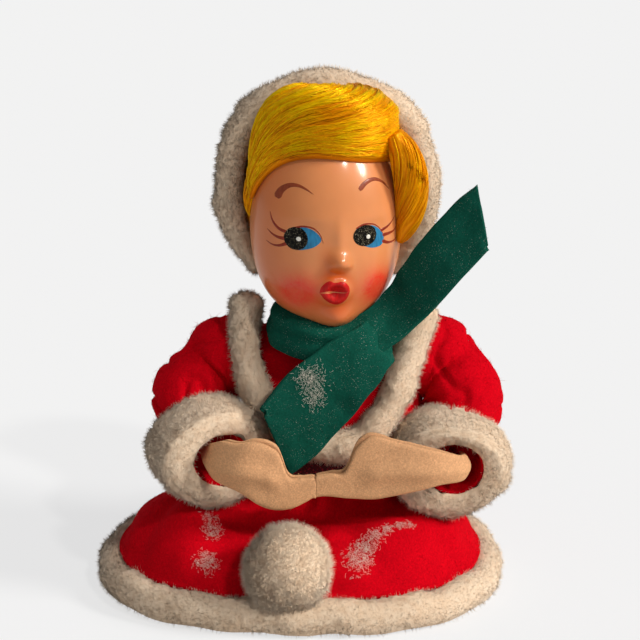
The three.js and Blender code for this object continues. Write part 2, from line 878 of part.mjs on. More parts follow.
// Hair lies on the bare head: a cap at the back, a fringe swept across, and two locks.
function hairCap() {
  const line = headFrame(0, CAP_FRONT, 0);
  const back = headFrame(0, -1, 0).sub(headFrame(0, 0, 0));
  const tilt = vec(back.x, back.y, 0.45).normalize();
  const through = line.clone().add(vec(0, 0, HEAD_RISE / 2));
  return headBody(CAP_HAIR, false, 10, 18)
    .subtract(headBody(CLEARANCE, false, 12, 22))
    .trimByPlane(tilt.toArray(), tilt.dot(through))
    .trimByPlane([0, 0, 1], CAP_NAPE);
}

// Outside of the combed hair over the forehead: wider and squarer than the head
function fringeOutside(azimuth, latitude, grow) {
  const power = 2 / FRINGE_SQUARENESS;
  const flat = Math.cos(latitude) ** power;
  return headFrame(
    (FRINGE_HALF_WIDTH + grow) * Math.sin(azimuth) * flat,
    (FRINGE_AHEAD + grow) * Math.cos(azimuth) * flat,
    (FRINGE_RISE + grow) * Math.sin(latitude) ** power,
  );
}

// u crosses the forehead from the left temple, v goes from the edge up and back.
function fringe(grow) {
  const spare = grow / (2 * FRINGE_HALF_WIDTH);
  const place = (outside) => (u, v) => {
    const side = 2 * mix(-spare, 1 + spare, u) - 1;
    const rise = mix(-spare, 1 + spare, v);
    const azimuth = FRINGE_HALF_ANGLE * side;
    const edgeUp = FRINGE_LINE - FRINGE_SWEEP * ramp(-side, 0.2, 1) - 1.2 * ramp(side, 0.55, 1);
    const latitude = mix(Math.asin(edgeUp / HEAD_RISE), FRINGE_BACK_LATITUDE, rise);
    const hair = outside ? FRINGE_EDGE + grow : -grow;
    const skin = headPoint(azimuth, latitude, CLEARANCE + hair, false);
    if (!outside) return skin;
    const roundEdge = Math.sqrt(Math.max(0, 1 - (1 - Math.min(1, rise / 0.34)) ** 2));
    const roundSide = Math.sqrt(Math.max(0, 1 - Math.abs(side) ** 5));
    return skin.lerp(fringeOutside(azimuth, latitude, grow), roundEdge * roundSide);
  };
  return sheet(place(true), place(false), 16, 7);
}

// A lock hangs from the fringe along the temple and narrows to its tip.
function sideLock(lock, grow) {
  const places = [0, 0.35, 0.7, 1].map((k) => {
    const up = LOCK_TOP - lock.length * k;
    const latitude = up > 0 ? Math.asin(up / HEAD_RISE) : Math.asin(up / HEAD_DROP);
    const azimuth = THREE.MathUtils.degToRad(lock.azimuth);
    const away = CLEARANCE + lock.radius * 0.7 + lock.out * Math.sin(Math.PI * k);
    return headPoint(azimuth, latitude, away, false);
  });
  const curve = new THREE.CatmullRomCurve3(places, false, "centripetal");
  const taper = (s) => Math.sqrt(Math.max(0.02, Math.sin(Math.PI * (0.12 + 0.87 * s))));
  const radius = (s) => lock.radius * taper(s) + grow;
  return swept(curve, radius, 8, 8);
}

// Hood: sections across, from the face opening to the back of the head
function hoodPoint(angle, depth, grow) {
  const shrink = (1 - Math.max(0, depth) ** 2.6) ** (1 / 2.2);
  const [s, c] = [Math.sin(angle), Math.cos(angle)];
  const tall = c > 0 ? HOOD_RISE : HOOD_DROP;
  const low = mix(HOOD_MOUTH_SQUARENESS, HOOD_SQUARENESS, ramp(depth, 0, 0.3));
  const wide = 2 / (c > 0 ? HOOD_TOP_SQUARENESS : low);
  const x = (HOOD_HALF_WIDTH + grow) * shrink * Math.sign(s) * Math.abs(s) ** wide;
  const up = (tall + grow) * shrink * Math.sign(c) * Math.abs(c) ** wide;
  const y = HOOD_FACE_Y - HOOD_TILT * (up - HOOD_RISE) + (HOOD_DEPTH + grow) * depth;
  const back = y - HOOD_TILT * (HOOD_RISE - up) * depth;
  return vec(HEAD_X + x, back, HOOD_MIDDLE + up);
}

function hoodBody(grow) {
  return tube((u, v) => hoodPoint(TAU * v, mix(-0.12, 1, u), grow), 7, 24);
}

function ringPath(grow) {
  const points = [];
  const steps = 24;
  for (let i = 0; i <= steps; i++) {
    const angle = mix(RING_OPEN_ANGLE - Math.PI, Math.PI - RING_OPEN_ANGLE, i / steps);
    points.push(hoodPoint(angle, 0, grow));
  }
  return new THREE.CatmullRomCurve3(points, false, "centripetal");
}

// Fleece roll round the face, with lumps, thinner at its two ends under the chin
function hoodRing(grow) {
  const radius = (s, v) => {
    const end = Math.min(s, 1 - s);
    const thin = mix(RING_END_RADIUS, RING_RADIUS, ramp(end, 0, 0.16));
    const lump = 0.12 * Math.sin(38 * s + 2 * Math.sin(TAU * v));
    return (thin + lump) * roundedEnd(end / RING_END_SHARE, 0.3) + grow;
  };
  return swept(ringPath(-RING_INSET), radius, 38, 8);
}

function hood() {
  const wall = hoodBody(0).subtract(hoodBody(-FELT));
  const tilted = vec(0, 1, HOOD_TILT).normalize();
  const front = vec(0, HOOD_FACE_Y, HOOD_MIDDLE + HOOD_RISE);
  return wall.trimByPlane(tilted.toArray(), tilted.dot(front)).trimByPlane([0, 0, 1], HOOD_HEM);
}

// Scarf: the strip's middle, and the direction of its width, from the raised end to the chest.
// A share below 1 is where the strip is gathered or turned away.
const SCARF_ROUTE = [
  { at: [28.6, -15.2, 23], wide: [-0.2, 0.1, 0.97], share: 0.72 },
  { at: [25.1, -15.3, 18.9], wide: [-0.7, 0.2, 0.68], share: 0.64 },
  { at: [20.1, -15.5, 13.8], wide: [-0.7, 0.2, 0.7], share: 0.66 },
  { at: [16.4, -15.8, 9.8], wide: [-0.68, 0.2, 0.72], share: 0.68 },
  { at: [11.8, -16.5, 4], wide: [-0.5, 0.15, 0.85], share: 0.64 },
  { at: [4.6, -17, -1.2], wide: [-0.3, 0.15, 0.95], share: 0.48 },
  { at: [-4.6, -15.2, -1.6], wide: [-0.05, 0.2, 0.97], share: 0.46 },
  { at: [-SCARF_SIDE, -8.2, 0.8], wide: [0.1, 0.1, 1], share: NECK_SHARE },
  { at: [-SCARF_SIDE - 0.6, 1.5, 0], wide: [0.15, 0, 1], share: NECK_SHARE },
  { at: [-SCARF_SIDE * 0.6, SCARF_BACK - 1.6, 0], wide: [0.1, -0.15, 1], share: NECK_SHARE },
  { at: [0, SCARF_BACK, 0], wide: [0, -0.2, 1], share: NECK_SHARE },
  { at: [SCARF_SIDE * 0.6, SCARF_BACK - 1.6, 0], wide: [-0.1, -0.15, 1], share: NECK_SHARE },
  { at: [SCARF_SIDE + 0.6, 1.5, -0.2], wide: [-0.15, 0, 1], share: NECK_SHARE },
  { at: [SCARF_SIDE + 0.4, -6.6, -2], wide: [-0.1, 0.1, 1], share: NECK_SHARE },
  { at: [7.6, -12.4, -5.6], wide: [-0.5, 0.1, 0.8], share: 0.6 },
  { at: [2.2, -15.2, -9.6], wide: [-0.75, 0.1, 0.65], share: 0.86 },
  { at: [-3, -17.6, -12.9], wide: [-0.83, 0, 0.57], share: 1 },
  { at: [-6.6, -19.4, -16.8], wide: [-0.86, 0, 0.52], share: 0.98 },
  { at: [-10, -20.8, -20.8], wide: [-0.39, 0.05, 0.92], share: 0.86 },
];

function scarf(grow) {
  const spots = SCARF_ROUTE.map(({ at }) => vec(at[0], at[1], SCARF_HEIGHT + at[2]));
  const curve = new THREE.CatmullRomCurve3(spots, false, "centripetal");
  const last = SCARF_ROUTE.length - 1;
  const stationAt = (t) => {
    const k = Math.min(last - 1, Math.floor(t * last));
    const share = ramp(t * last - k, 0, 1);
    const [from, to] = [SCARF_ROUTE[k], SCARF_ROUTE[k + 1]];
    const wide = vec(...from.wide).normalize().lerp(vec(...to.wide).normalize(), share);
    return { wide: wide.normalize(), half: SCARF_HALF_WIDTH * mix(from.share, to.share, share) };
  };
  const place = (side) => (u, v) => {
    const { wide, half } = stationAt(u);
    const p = curve.getPoint(u);
    const normal = curve.getTangent(u).cross(wide).normalize();
    const spread = (2 * v - 1) * (half + grow);
    return p.addScaledVector(wide, spread).addScaledVector(normal, side * (SCARF_FELT / 2 + grow));
  };
  return sheet(place(1), place(-1), SCARF_STEPS, 2);
}

// Arms: the sleeve's middle line starts inside the shoulder's hollow and runs through the
// shoulder joint, so that its root can be rounded about the joint.
function armOf(arm) {
  const side = arm.side;
  const shoulder = shoulderPoint(side);
  const outward = vec(side, 0, 0);
  const aim = vec(...arm.aim).normalize();
  const cuff = vec(...arm.cuff);
  const mouth = cuff.clone().addScaledVector(aim, CUFF_LENGTH / 2);
  const back = cuff.clone().addScaledVector(aim, -CUFF_LENGTH / 2);
  const root = shoulder.clone().addScaledVector(outward, -ROOT_DEPTH);
  const wireStart = shoulder.clone().addScaledVector(outward, WIRE_RADIUS / 2 + CLEARANCE / 2);
  const shared = [
    shoulder.clone().addScaledVector(outward, 2.6),
    vec(...arm.upper),
    vec(...arm.elbow),
    back,
    cuff.clone().addScaledVector(aim, CUFF_LENGTH / 2 - MOUTH_DEPTH),
  ];
  const through = (points) => new THREE.CatmullRomCurve3(points, false, "centripetal");
  const sleeveLine = through([root, shoulder, ...shared, mouth]);
  const ahead = [arm.leave, arm.bend, arm.palm].map((p) => vec(...p));
  const wireLine = through([wireStart, ...shared, ...ahead]);
  return { shoulder, aim, cuff, sleeveLine, wireLine };
}

// Outside of the sleeve: a rounded root, a full upper arm with creases, and a narrow wrist
function sleeveOutside(arm, grow) {
  const { sleeveLine, shoulder } = armOf(arm);
  const length = sleeveLine.getLength();
  const wrist = 1 - CUFF_LENGTH / length;
  const root = ROOT_DEPTH / length;
  const sizes = smoothStations([
    { height: 0, r: SLEEVE_ROOT },
    { height: root * 1.15, r: SLEEVE_ROOT },
    { height: 0.36, r: SLEEVE_UPPER },
    { height: 0.56, r: SLEEVE_ELBOW },
    { height: wrist, r: SLEEVE_WRIST },
    { height: 1, r: SLEEVE_WRIST },
  ]);
  return (s, v) => {
    if (s <= root) {
      const inward = sleeveLine.getPointAt(s).distanceTo(shoulder);
      return Math.sqrt(SLEEVE_ROOT ** 2 - inward ** 2) + grow;
    }
    const crease = SLEEVE_CREASE * Math.sin(30 * s + 2 * Math.cos(TAU * v));
    return sizes(s).r + grow + crease * ramp(s, root, root + 0.1) * (1 - ramp(s, 0.5, wrist));
  };
}

function sleeve(arm) {
  const { sleeveLine } = armOf(arm);
  const length = sleeveLine.getLength();
  const mouthShare = MOUTH_DEPTH / length;
  const root = ROOT_DEPTH / length;
  const frames = framesOf(sleeveLine);
  const bore = WIRE_RADIUS + CLEARANCE;
  const outer = sleeveOutside(arm, 0);
  const inner = (s) => {
    if (s < root) return bore + (root - s) * length * Math.tan(ARM_SWING);
    return mix(bore, MOUTH_RADIUS, ramp(s, 1 - mouthShare - 0.01, 1 - mouthShare * 0.6));
  };
  return openWall(
    (u, v) => onTube(sleeveLine, frames, u, v, outer),
    (u, v) => onTube(sleeveLine, frames, u, v, inner),
    SLEEVE_RINGS,
    SLEEVE_SIDES,
  );
}

function sleeveRoom(arm, grow) {
  const { sleeveLine } = armOf(arm);
  return swept(sleeveLine, sleeveOutside(arm, grow), SLEEVE_RINGS, SLEEVE_SIDES);
}

// The cuff is a thick fleece roll with rounded edges on the sleeve's straight end.
function cuff(arm, grow) {
  const { aim, cuff: middle } = armOf(arm);
  const half = CUFF_LENGTH / 2;
  const [low, high] = [-half - grow, half + CUFF_LIP + grow];
  const across = vec(0, 0, 1).cross(aim).normalize();
  const up = aim.clone().cross(across);
  return tube(
    (u, v) => {
      const s = mix(low, high, u);
      const fromEnd = Math.min(s - low, high - s);
      const round = 1 - Math.min(1, fromEnd / CUFF_ROUND);
      const drop = CUFF_ROUND * (1 - Math.sqrt(1 - round * round)) - grow;
      const wave = 1 + 0.03 * Math.sin(3 * TAU * v + arm.side);
      return middle
        .clone()
        .addScaledVector(aim, s)
        .addScaledVector(across, (CUFF_HALF_WIDTH - drop) * wave * Math.cos(TAU * v))
        .addScaledVector(up, (CUFF_HALF_HEIGHT - drop) * wave * Math.sin(TAU * v));
    },
    7,
    14,
  );
}

function cuffBore(arm) {
  const { aim, cuff: middle } = armOf(arm);
  const reach = CUFF_LENGTH + CUFF_LIP;
  const [from, to] = [-reach, reach].map((d) => middle.clone().addScaledVector(aim, d));
  return swept(new THREE.LineCurve3(from, to), () => SLEEVE_WRIST + CLEARANCE, 1, 12);
}

function armWire(arm) {
  const { wireLine } = armOf(arm);
  return swept(wireLine, () => WIRE_RADIUS, 26, 5);
}

// Each hand is two layers of felt glued together over the end of the wire.
function handLayer(arm, layer) {
  const { aim, cuff: middle, wireLine } = armOf(arm);
  const start = middle.clone().addScaledVector(aim, CUFF_LENGTH / 2 - MOUTH_DEPTH * 0.45);
  const stem = [start, ...[arm.leave, arm.bend, arm.palm].map((p) => vec(...p))];
  const tip = vec(...arm.tip);
  tip.x += (arm.side * HANDS_MEET_GAP) / 2;
  const line = new THREE.CatmullRomCurve3([...stem, tip], false, "centripetal");
  const length = line.getLength();
  const wireShare = stem.length / (stem.length + 1);
  const outline = (spots) => smoothStations(spots.map(([height, reach]) => ({ height, reach })));
  const [top, bottom] = [outline(arm.top), outline(arm.bottom)];
  const place = (inside) => (u, v) => {
    const run = u * length;
    const reach = mix(-bottom(run).reach, top(run).reach, v);
    const p = line.getPointAt(u);
    const along = line.getTangentAt(u).setZ(0).normalize();
    const facing = vec(along.y, -along.x, 0).multiplyScalar(arm.side === -1 ? 1 : -1);
    const open = WIRE_RADIUS + CLEARANCE + HAND_ROOT_OPEN * (1 - ramp(u, 0, 0.3));
    const gap = mix(open, HAND_LAYER_GAP, ramp(u, wireShare * 0.82, wireShare));
    const away = inside ? gap : gap + HAND_FELT;
    p.addScaledVector(facing, layer * away);
    return p.add(vec(0, 0, reach));
  };
  return sheet(place(false), place(true), 32, 1);
}

const group = new THREE.Group();

function addPiece(name, body, material) {
  const mesh = body.getMesh();
  const geometry = new THREE.BufferGeometry();
  const count = mesh.vertProperties.length / mesh.numProp;
  const at = new Float32Array(count * 3);
  for (let i = 0; i < count; i++) {
    at.set(mesh.vertProperties.subarray(i * mesh.numProp, i * mesh.numProp + 3), i * 3);
  }
  geometry.setAttribute("position", new THREE.BufferAttribute(at, 3));
  geometry.setIndex(new THREE.BufferAttribute(new Uint32Array(mesh.triVerts), 1));
  geometry.computeVertexNormals();
  const piece = new THREE.Mesh(geometry, material.clone());
  piece.name = name;
  group.add(piece);
}

// Of what a cut leaves, the main piece
function largest(body) {
  return body.decompose().reduce((best, part) => (part.volume() > best.volume() ? part : best));
}

// Fixed pieces, from the ground up
const skirtRoom = skirtBlock();
const pomBody = pompom().subtract(skirtRoom).subtract(hemRoll(CLEARANCE));
const scarfRoom = scarf(CLEARANCE);
const shirt = largest(jacketWall().subtract(scarfRoom));
const arms = Object.entries(ARMS);
const armRoom = arms.map(([, arm]) => sleeveRoom(arm, CLEARANCE).add(cuff(arm, CLEARANCE)));
let trim = jacketTrim().subtract(jacketBlock()).subtract(scarfRoom);
for (const room of armRoom) trim = trim.subtract(room);

addPiece("base_board", baseBoard(), BOARD);
addPiece("hips", hips(), STUFFING);
addPiece("skirt", skirtWall(), RED_FELT);
addPiece("skirt_trim", hemRoll(0), FLEECE);
addPiece("pompom", largest(pomBody), FLEECE);
addPiece("waistband", waistband(), TAPE);
addPiece("torso_core", largest(torsoCore().subtract(scarfRoom)), STUFFING);
addPiece("wire_across", wireAcross(0), STEEL);
addPiece("front_panel", largest(shirt.intersect(panelPrism(0))), RED_FELT);
addPiece("jacket", largest(shirt.subtract(panelPrism(CLEARANCE))), RED_FELT);
addPiece("jacket_trim", largest(trim), FLEECE);
addPiece("scarf", scarf(0), GREEN_FELT);
addPiece("neck_post", neckPost(), WOOD);

// Head, which turns on the neck post
const ringRoom = hoodRing(CLEARANCE);
const faceRoom = headBody(CLEARANCE, true, 26, 32);
let cap = hairCap().subtract(ringRoom).subtract(fringe(CLEARANCE));
for (const lock of Object.values(LOCKS)) cap = cap.subtract(sideLock(lock, CLEARANCE));
const hairRoom = headBody(CAP_HAIR + CLEARANCE, false, 10, 18);
addPiece("head_shell", headShell(), HEAD_PLASTIC);
addPiece("hair_cap", largest(cap), FLOSS);
addPiece("fringe", largest(fringe(0).subtract(ringRoom)), FLOSS);
for (const [name, lock] of Object.entries(LOCKS)) {
  const hair = sideLock(lock, 0).subtract(faceRoom).subtract(fringe(CLEARANCE));
  addPiece("side_lock_" + name, largest(hair.subtract(ringRoom)), FLOSS);
}
addPiece("hood", largest(hood().subtract(ringRoom).subtract(hairRoom)), RED_FELT);
addPiece("hood_trim", largest(hoodRing(0).subtract(faceRoom)), FLEECE);

// Arms, which turn outward at the shoulders
for (const [name, arm] of arms) {
  const cuffBody = cuff(arm, 0).subtract(sleeveRoom(arm, 2 * CLEARANCE)).subtract(cuffBore(arm));
  addPiece("sleeve_" + name, sleeve(arm), RED_FELT);
  addPiece("cuff_" + name, cuffBody, FLEECE);
  addPiece("arm_wire_" + name, armWire(arm), STEEL);
  addPiece("hand_front_" + name, handLayer(arm, 1), HAND_SKIN_FELT);
  addPiece("hand_back_" + name, handLayer(arm, -1), HAND_SKIN_FELT);
}

export default group;
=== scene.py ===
"""A small felt doll with a moulded head, laid out as a Blender add-on and run as a script.

Lengths in the code are millimetres in the doll's own frame: +Z is up, +X is to the viewer's
right, and the doll faces -Y. put() turns them into metres.
"""

import itertools

import bpy
import numpy as np
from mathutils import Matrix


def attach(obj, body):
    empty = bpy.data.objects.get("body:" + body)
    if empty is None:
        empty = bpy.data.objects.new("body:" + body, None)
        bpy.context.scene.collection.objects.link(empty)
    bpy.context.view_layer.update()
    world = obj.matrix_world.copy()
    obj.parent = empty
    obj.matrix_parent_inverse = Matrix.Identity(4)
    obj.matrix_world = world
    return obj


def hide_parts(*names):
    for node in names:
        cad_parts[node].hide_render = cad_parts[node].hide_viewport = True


bl_info = {
    "name": "Felt Hood Doll",
    "version": (1, 0, 0),
    "blender": (4, 5, 0),
    "location": "3D View > Sidebar > Doll",
    "description": "Builds a felt doll with a hood, a scarf and fleece edges on its packed frame",
    "category": "Add Mesh",
}

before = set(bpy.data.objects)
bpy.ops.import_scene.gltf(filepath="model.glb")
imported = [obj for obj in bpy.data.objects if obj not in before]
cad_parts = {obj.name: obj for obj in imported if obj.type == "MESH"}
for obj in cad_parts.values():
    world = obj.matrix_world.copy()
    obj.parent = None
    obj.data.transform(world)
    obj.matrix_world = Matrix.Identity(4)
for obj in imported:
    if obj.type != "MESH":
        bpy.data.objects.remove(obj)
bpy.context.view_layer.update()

MM = 0.001
TAU = 2 * np.pi
UP = np.array([0.0, 0.0, 1.0])

# Places and sizes, most of them shared with the solids
FELT = 1.2
CLEARANCE = 0.3
SKIRT_SHIFT = (-5.5, -2.0)
WAIST_RADIUS, HEM_RADIUS = 13.2, 35.6
SKIRT_STATIONS = [0, 0.12, 0.58, 0.86, 1]
SKIRT_HEIGHTS = [26, 20, 15.6, 11.6, 7.05]
FOLD_DEPTH, FOLD_RISE, FOLD_TURN = 3.0, 4.4, np.radians(33)
HEM_ROLL, HEM_ROLL_OUT = 3.5, 1.0
BOARD_TOP = 1.8
WAIST_TAPE_SHARE = 0.07
POMPOM_RADIUS, POMPOM_HEIGHT, POMPOM_SINK, POMPOM_ANGLE = 7.9, 11.6, 1.4, np.radians(-94.5)
TORSO_HEIGHTS = [20.4, 26, 31, 38, 43, 46.4, 48.2]
TORSO_HALVES = [11.3, 11.3, 14.5, 17, 18, 17.4, 12.4]
TORSO_FRONTS = [11.3, 11.3, 13.2, 11.8, 9.6, 8.2, 7]
TORSO_BACKS = [11.3, 10.7, 10.6, 10, 9, 8, 7]
TORSO_SQUARENESS = 2.3
JACKET_HEM, JACKET_COLLAR = 28.0, 48.0
TUCKED_HEM, TUCKED_COLLAR, PANEL_GAP_TURNS = 1.8, 1.3, 0.004
TRIM_RADIUS, TRIM_SINK = 3.1, 1.2
TRIM_ROUTE = [
    (-15.9, 58, -3.4), (-16.8, 51.4, -5.6), (-16.4, 46, None), (-14.8, 40.5, None),
    (-11.2, 34.8, None), (-5.6, 30.8, None), (0.7, 29.6, None), (6.6, 31.2, None), (11, 36, None),
    (14, 42, None), (16.3, 47.6, -7.6), (17.7, 51.8, -6), (18.9, 56, -4),
]
NECK_Y = -1.0
POST_HOLE, HEAD_WALL = 4.1, 1.5
MOUTH_ACROSS, MOUTH_UP = -0.75, -10.2
HEAD_SEAT = 54.6
HEAD_X, HEAD_Y, HEAD_MIDDLE, HEAD_YAW = -0.7, -4.0, 71.5, np.radians(10.5)
HEAD_HALF_WIDTH, HEAD_FRONT, HEAD_BACK = 14.8, 14.7, 14.6
HEAD_RISE, HEAD_DROP, CHIN_DROP, CHIN_SPREAD = 22.0, 17.9, 2.5, 0.8
FRINGE_HALF_WIDTH, FRINGE_AHEAD, FRINGE_RISE, FRINGE_SQUARENESS = 18.2, 18.6, 28.3, 3.3
FRINGE_EDGE_SIDES = [-1, -0.9, -0.8, -0.68, -0.5, -0.25, 0, 0.3, 0.6, 1]
FRINGE_EDGE_RISES = [5.6, 8.0, 10.3, 12.2, 13.7, 14.4, 14.2, 13.5, 13.0, 12.3]
FRINGE_HALF_ANGLE, FRINGE_BACK_LATITUDE = np.radians(85), np.radians(80)
LOCKS = {
    "left": {"radius": 1.3, "line": [(-14.7, -6.3, 82), (-15.1, -6, 79), (-15.2, -5.6, 76), (-15, -5.2, 73)]},
    "right": {
        "radius": 3.2,
        "line": [
            (11.9, -10.4, 90),
            (13.9, -10.6, 86.8),
            (15.1, -10.2, 83),
            (15.6, -9.7, 79),
            (15.1, -9.5, 74),
            (13.5, -9.8, 69),
        ],
    },
}
HOOD_HALF_WIDTH, HOOD_MIDDLE, HOOD_RISE, HOOD_DROP = 19.9, 78.0, 21.0, 22.0
HOOD_SQUARENESS, HOOD_TOP_SQUARENESS, HOOD_MOUTH_SQUARENESS = 2.6, 2.25, 2.15
HOOD_FACE_Y, HOOD_TILT, HOOD_DEPTH, HOOD_HEM = -5.6, 0.17, 20.6, 58.6
RING_RADIUS, RING_END_RADIUS, RING_INSET = 3.3, 2.1, 0.9
RING_OPEN_ANGLE = np.radians(38)
SCARF_HALF_WIDTH, SCARF_FELT, SCARF_HEIGHT = 7.4, 1.1, 52.6
SCARF_ROUTE = [
    (28.6, -15.2, 22.9, -0.2, 0.1, 0.97, 0.78),
    (25.1, -14.6, 18.8, -0.7, 0.3, 0.68, 0.72),
    (20.4, -13.9, 13.0, -0.7, 0.35, 0.7, 0.72),
    (17.1, -12.8, 8.4, -0.66, 0.5, 0.66, 0.7),
    (13.6, -12, 4.0, -0.5, 0.65, 0.68, 0.66),
    (6.4, -15.2, -1.0, -0.3, 0.4, 0.9, 0.56),
    (-4.4, -15.4, -1.2, -0.05, 0.1, 0.97, 0.54),
    (-10.9, -8.8, 0.2, 0.1, 0.05, 1, 0.56),
    (-10.5, 1.5, 0.6, 0.15, 0, 1, 0.46),
    (-5.94, 7.7, 0, 0.1, -0.15, 1, 0.42),
    (0, 9.3, 0, 0, -0.2, 1, 0.42),
    (5.94, 7.7, 0, -0.1, -0.15, 1, 0.42),
    (10.5, 1.5, -0.2, -0.15, 0, 1, 0.42),
    (11.4, -7.6, -1.4, -0.2, 0.2, 0.95, 0.46),
    (8.8, -16.2, -2.2, -0.6, 0.2, 0.78, 0.64),
    (3.4, -18.6, -6.2, -0.75, 0.1, 0.65, 0.86),
    (-2, -19.5, -11.4, -0.82, 0, 0.57, 1),
    (-6.4, -20.1, -16.4, -0.86, 0, 0.52, 0.98),
    (-10, -20.8, -20.8, -0.39, 0.05, 0.92, 0.86),
]
SCARF_LINT = [(-3.4, -19.4, 44.6, 2.3), (-2.6, -19.8, 41.6, 1.9)]
SKIRT_LINT = [
    (-24.2, -18.9, 17.7, 1.2), (-23.4, -21.4, 16.8, 1.3), (-22.6, -23.8, 15.6, 1.5),
    (-23.5, -28.9, 11.6, 1.7), (5, -30.5, 12.4, 2.2), (6.5, -28.4, 14.1, 1.8),
    (8.6, -26.3, 15.4, 1.3), (10.8, -24.9, 16.1, 1), (13, -23.7, 16.4, 0.9),
    (15.2, -22.9, 16.5, 0.8),
]
SHOULDER_X, SHOULDER_Z, SLEEVE_ROOT, ROOT_DEPTH = 18.6, 43.6, 8.5, 6.0
SLEEVE_UPPER, SLEEVE_ELBOW, SLEEVE_WRIST = 8.0, 7.6, 6.2
CUFF_LENGTH, CUFF_HALF_WIDTH, CUFF_HALF_HEIGHT, CUFF_LIP = 12.0, 11.7, 10.1, 1.3
MOUTH_RADIUS, MOUTH_DEPTH, HAND_FELT = 5.2, 8.0, 1.1
ARMS = {
    "left": {
        "side": -1,
        "sag": (-0.1, 0, -0.3),
        "upper": (-24.4, -0.8, 41),
        "elbow": (-27.6, -5, 36),
        "cuff": (-23.4, -15.4, 29.4),
        "aim": (0.42, -0.9, -0.05),
        "thumb": 19.0,
        "hand": [(-20.8, -24.4, 29.2), (-16.6, -27.7, 29.6), (-11.5, -28, 28.6)],
        "tip": (-2.64, -27.6, 26.1),
        "top": (
            [0, 3.6, 8.6, 12.3, 15.4, 18.2, 19.8, 20.6, 21.4, 24.3, 26.7],
            [2.2, 3.2, 5.2, 5.2, 6.4, 6.5, 5.6, 3.8, 1.6, 1.3, 2],
        ),
        "bottom": (
            [0, 3.6, 8.5, 12.7, 15.6, 18.8, 22.3, 25.2, 26.7],
            [2, 2.6, 3.2, 4.4, 6, 6.4, 5.2, 3.1, 2],
        ),
    },
    "right": {
        "side": 1,
        "sag": (-0.9, 0, -1.1),
        "upper": (24.3, -0.8, 41),
        "elbow": (26.8, -5, 35.2),
        "cuff": (24.2, -15, 27.8),
        "thumb": 27.6,
        "aim": (-0.02, -0.99, -0.08),
        "hand": [(24.2, -24.4, 28.6), (19.8, -27.7, 29.6), (9.5, -28.1, 29.4)],
        "tip": (-2.58, -27.6, 26.4),
        "top": (
            [0, 4, 11.7, 16.6, 21.1, 23.4, 25.9, 28, 29, 30, 32.8, 35.4],
            [1.8, 2.2, 3.6, 4.8, 6, 7.1, 7.6, 6.2, 3.9, 2, 1.9, 2],
        ),
        "bottom": (
            [0, 4, 11.7, 16.5, 21, 24.2, 28.9, 35.4],
            [2.4, 2.4, 2.7, 4, 4.9, 5.1, 4, 2.1],
        ),
    },
}


# Numbers


def mix(a, b, share):
    return a + (b - a) * share


def smoothstep(x, low, high):
    """From 0 at low to 1 at high, level at both: 3t^2 - 2t^3."""
    share = np.clip((x - low) / (high - low), 0.0, 1.0)
    return share * share * (3.0 - 2.0 * share)


def bell(x):
    """1 in the middle and close to 0 from 2 on: exp(-x^2)."""
    return np.exp(-x * x)


def signed_power(x, power):
    return np.sign(x) * np.abs(x) ** power


def unit(v):
    return v / np.maximum(np.linalg.norm(v, axis=-1, keepdims=True), 1e-9)


def dot(a, b):
    return np.sum(a * b, axis=-1, keepdims=True)


def xyz(x, y, z):
    return np.stack(np.broadcast_arrays(x, y, z), -1).astype(float)


def stations(x, at, values):
    """Cubic pieces through stations. The slope at one is the mean of its two chords, 0 at the ends."""
    at, values = np.asarray(at, float), np.asarray(values, float)
    chord = np.diff(values) / np.diff(at)
    slope = np.concatenate([[0], (chord[1:] + chord[:-1]) / 2, [0]])
    x = np.clip(x, at[0], at[-1])
    k = np.clip(np.searchsorted(at, x, side="right") - 1, 0, len(at) - 2)
    d = at[k + 1] - at[k]
    t = (x - at[k]) / d
    start, end = 2 * t**3 - 3 * t**2 + 1, 3 * t**2 - 2 * t**3
    bend = (t**3 - 2 * t**2 + t) * slope[k] + (t**3 - t**2) * slope[k + 1]
    return start * values[k] + end * values[k + 1] + d * bend


def through(points, steps=48):
    """Centripetal Catmull-Rom line through the points, with that many steps between neighbours.

    Each piece is a cubic whose end slopes come from the neighbours, weighted by the square roots
    of the distances between them.
    """
    p = np.asarray(points, float)
    p = np.vstack([2 * p[0] - p[1], p, 2 * p[-1] - p[-2]])
    gap = np.sqrt(np.linalg.norm(np.diff(p[:, :3], axis=0), axis=1))[:, None]
    d0, d1, d2 = gap[:-2], gap[1:-1], gap[2:]
    p0, p1, p2, p3 = p[:-3], p[1:-2], p[2:-1], p[3:]
    leave = ((p1 - p0) / d0 - (p2 - p0) / (d0 + d1) + (p2 - p1) / d1) * d1
    reach = ((p2 - p1) / d1 - (p3 - p1) / (d1 + d2) + (p3 - p2) / d2) * d1
    t = np.linspace(0, 1, steps, endpoint=False)[None, :, None]
    line = (2 * t**3 - 3 * t**2 + 1) * p1[:, None] + (3 * t**2 - 2 * t**3) * p2[:, None]
    line = line + (t**3 - 2 * t**2 + t) * leave[:, None] + (t**3 - t**2) * reach[:, None]
    return np.vstack([line.reshape(-1, p.shape[1]), p[-2:-1]])


def length_along(line):
    steps = np.linalg.norm(np.diff(line[:, :3], axis=0), axis=1)
    return np.concatenate([[0], np.cumsum(steps)])


def at_share(line, share):
    """The line's columns at shares of its length, by straight steps between its points."""
    run = length_along(line)
    share = np.asarray(share, float) * run[-1]
    return np.stack([np.interp(share, run, line[:, k]) for k in range(line.shape[1])], -1)


def heading(line, share, steps):
    """The line's direction at shares of its length."""
    places = np.linspace(0, 1, steps)
    tangent = np.gradient(at_share(line, places), axis=0)
    return unit(np.stack([np.interp(share, places, tangent[:, k]) for k in range(3)], -1))


def square_to(along, reference):
    """Two directions square to a line: the first as near the reference as it can be."""
    first = unit(reference - along * dot(reference, along))
    return first, np.cross(along, first)


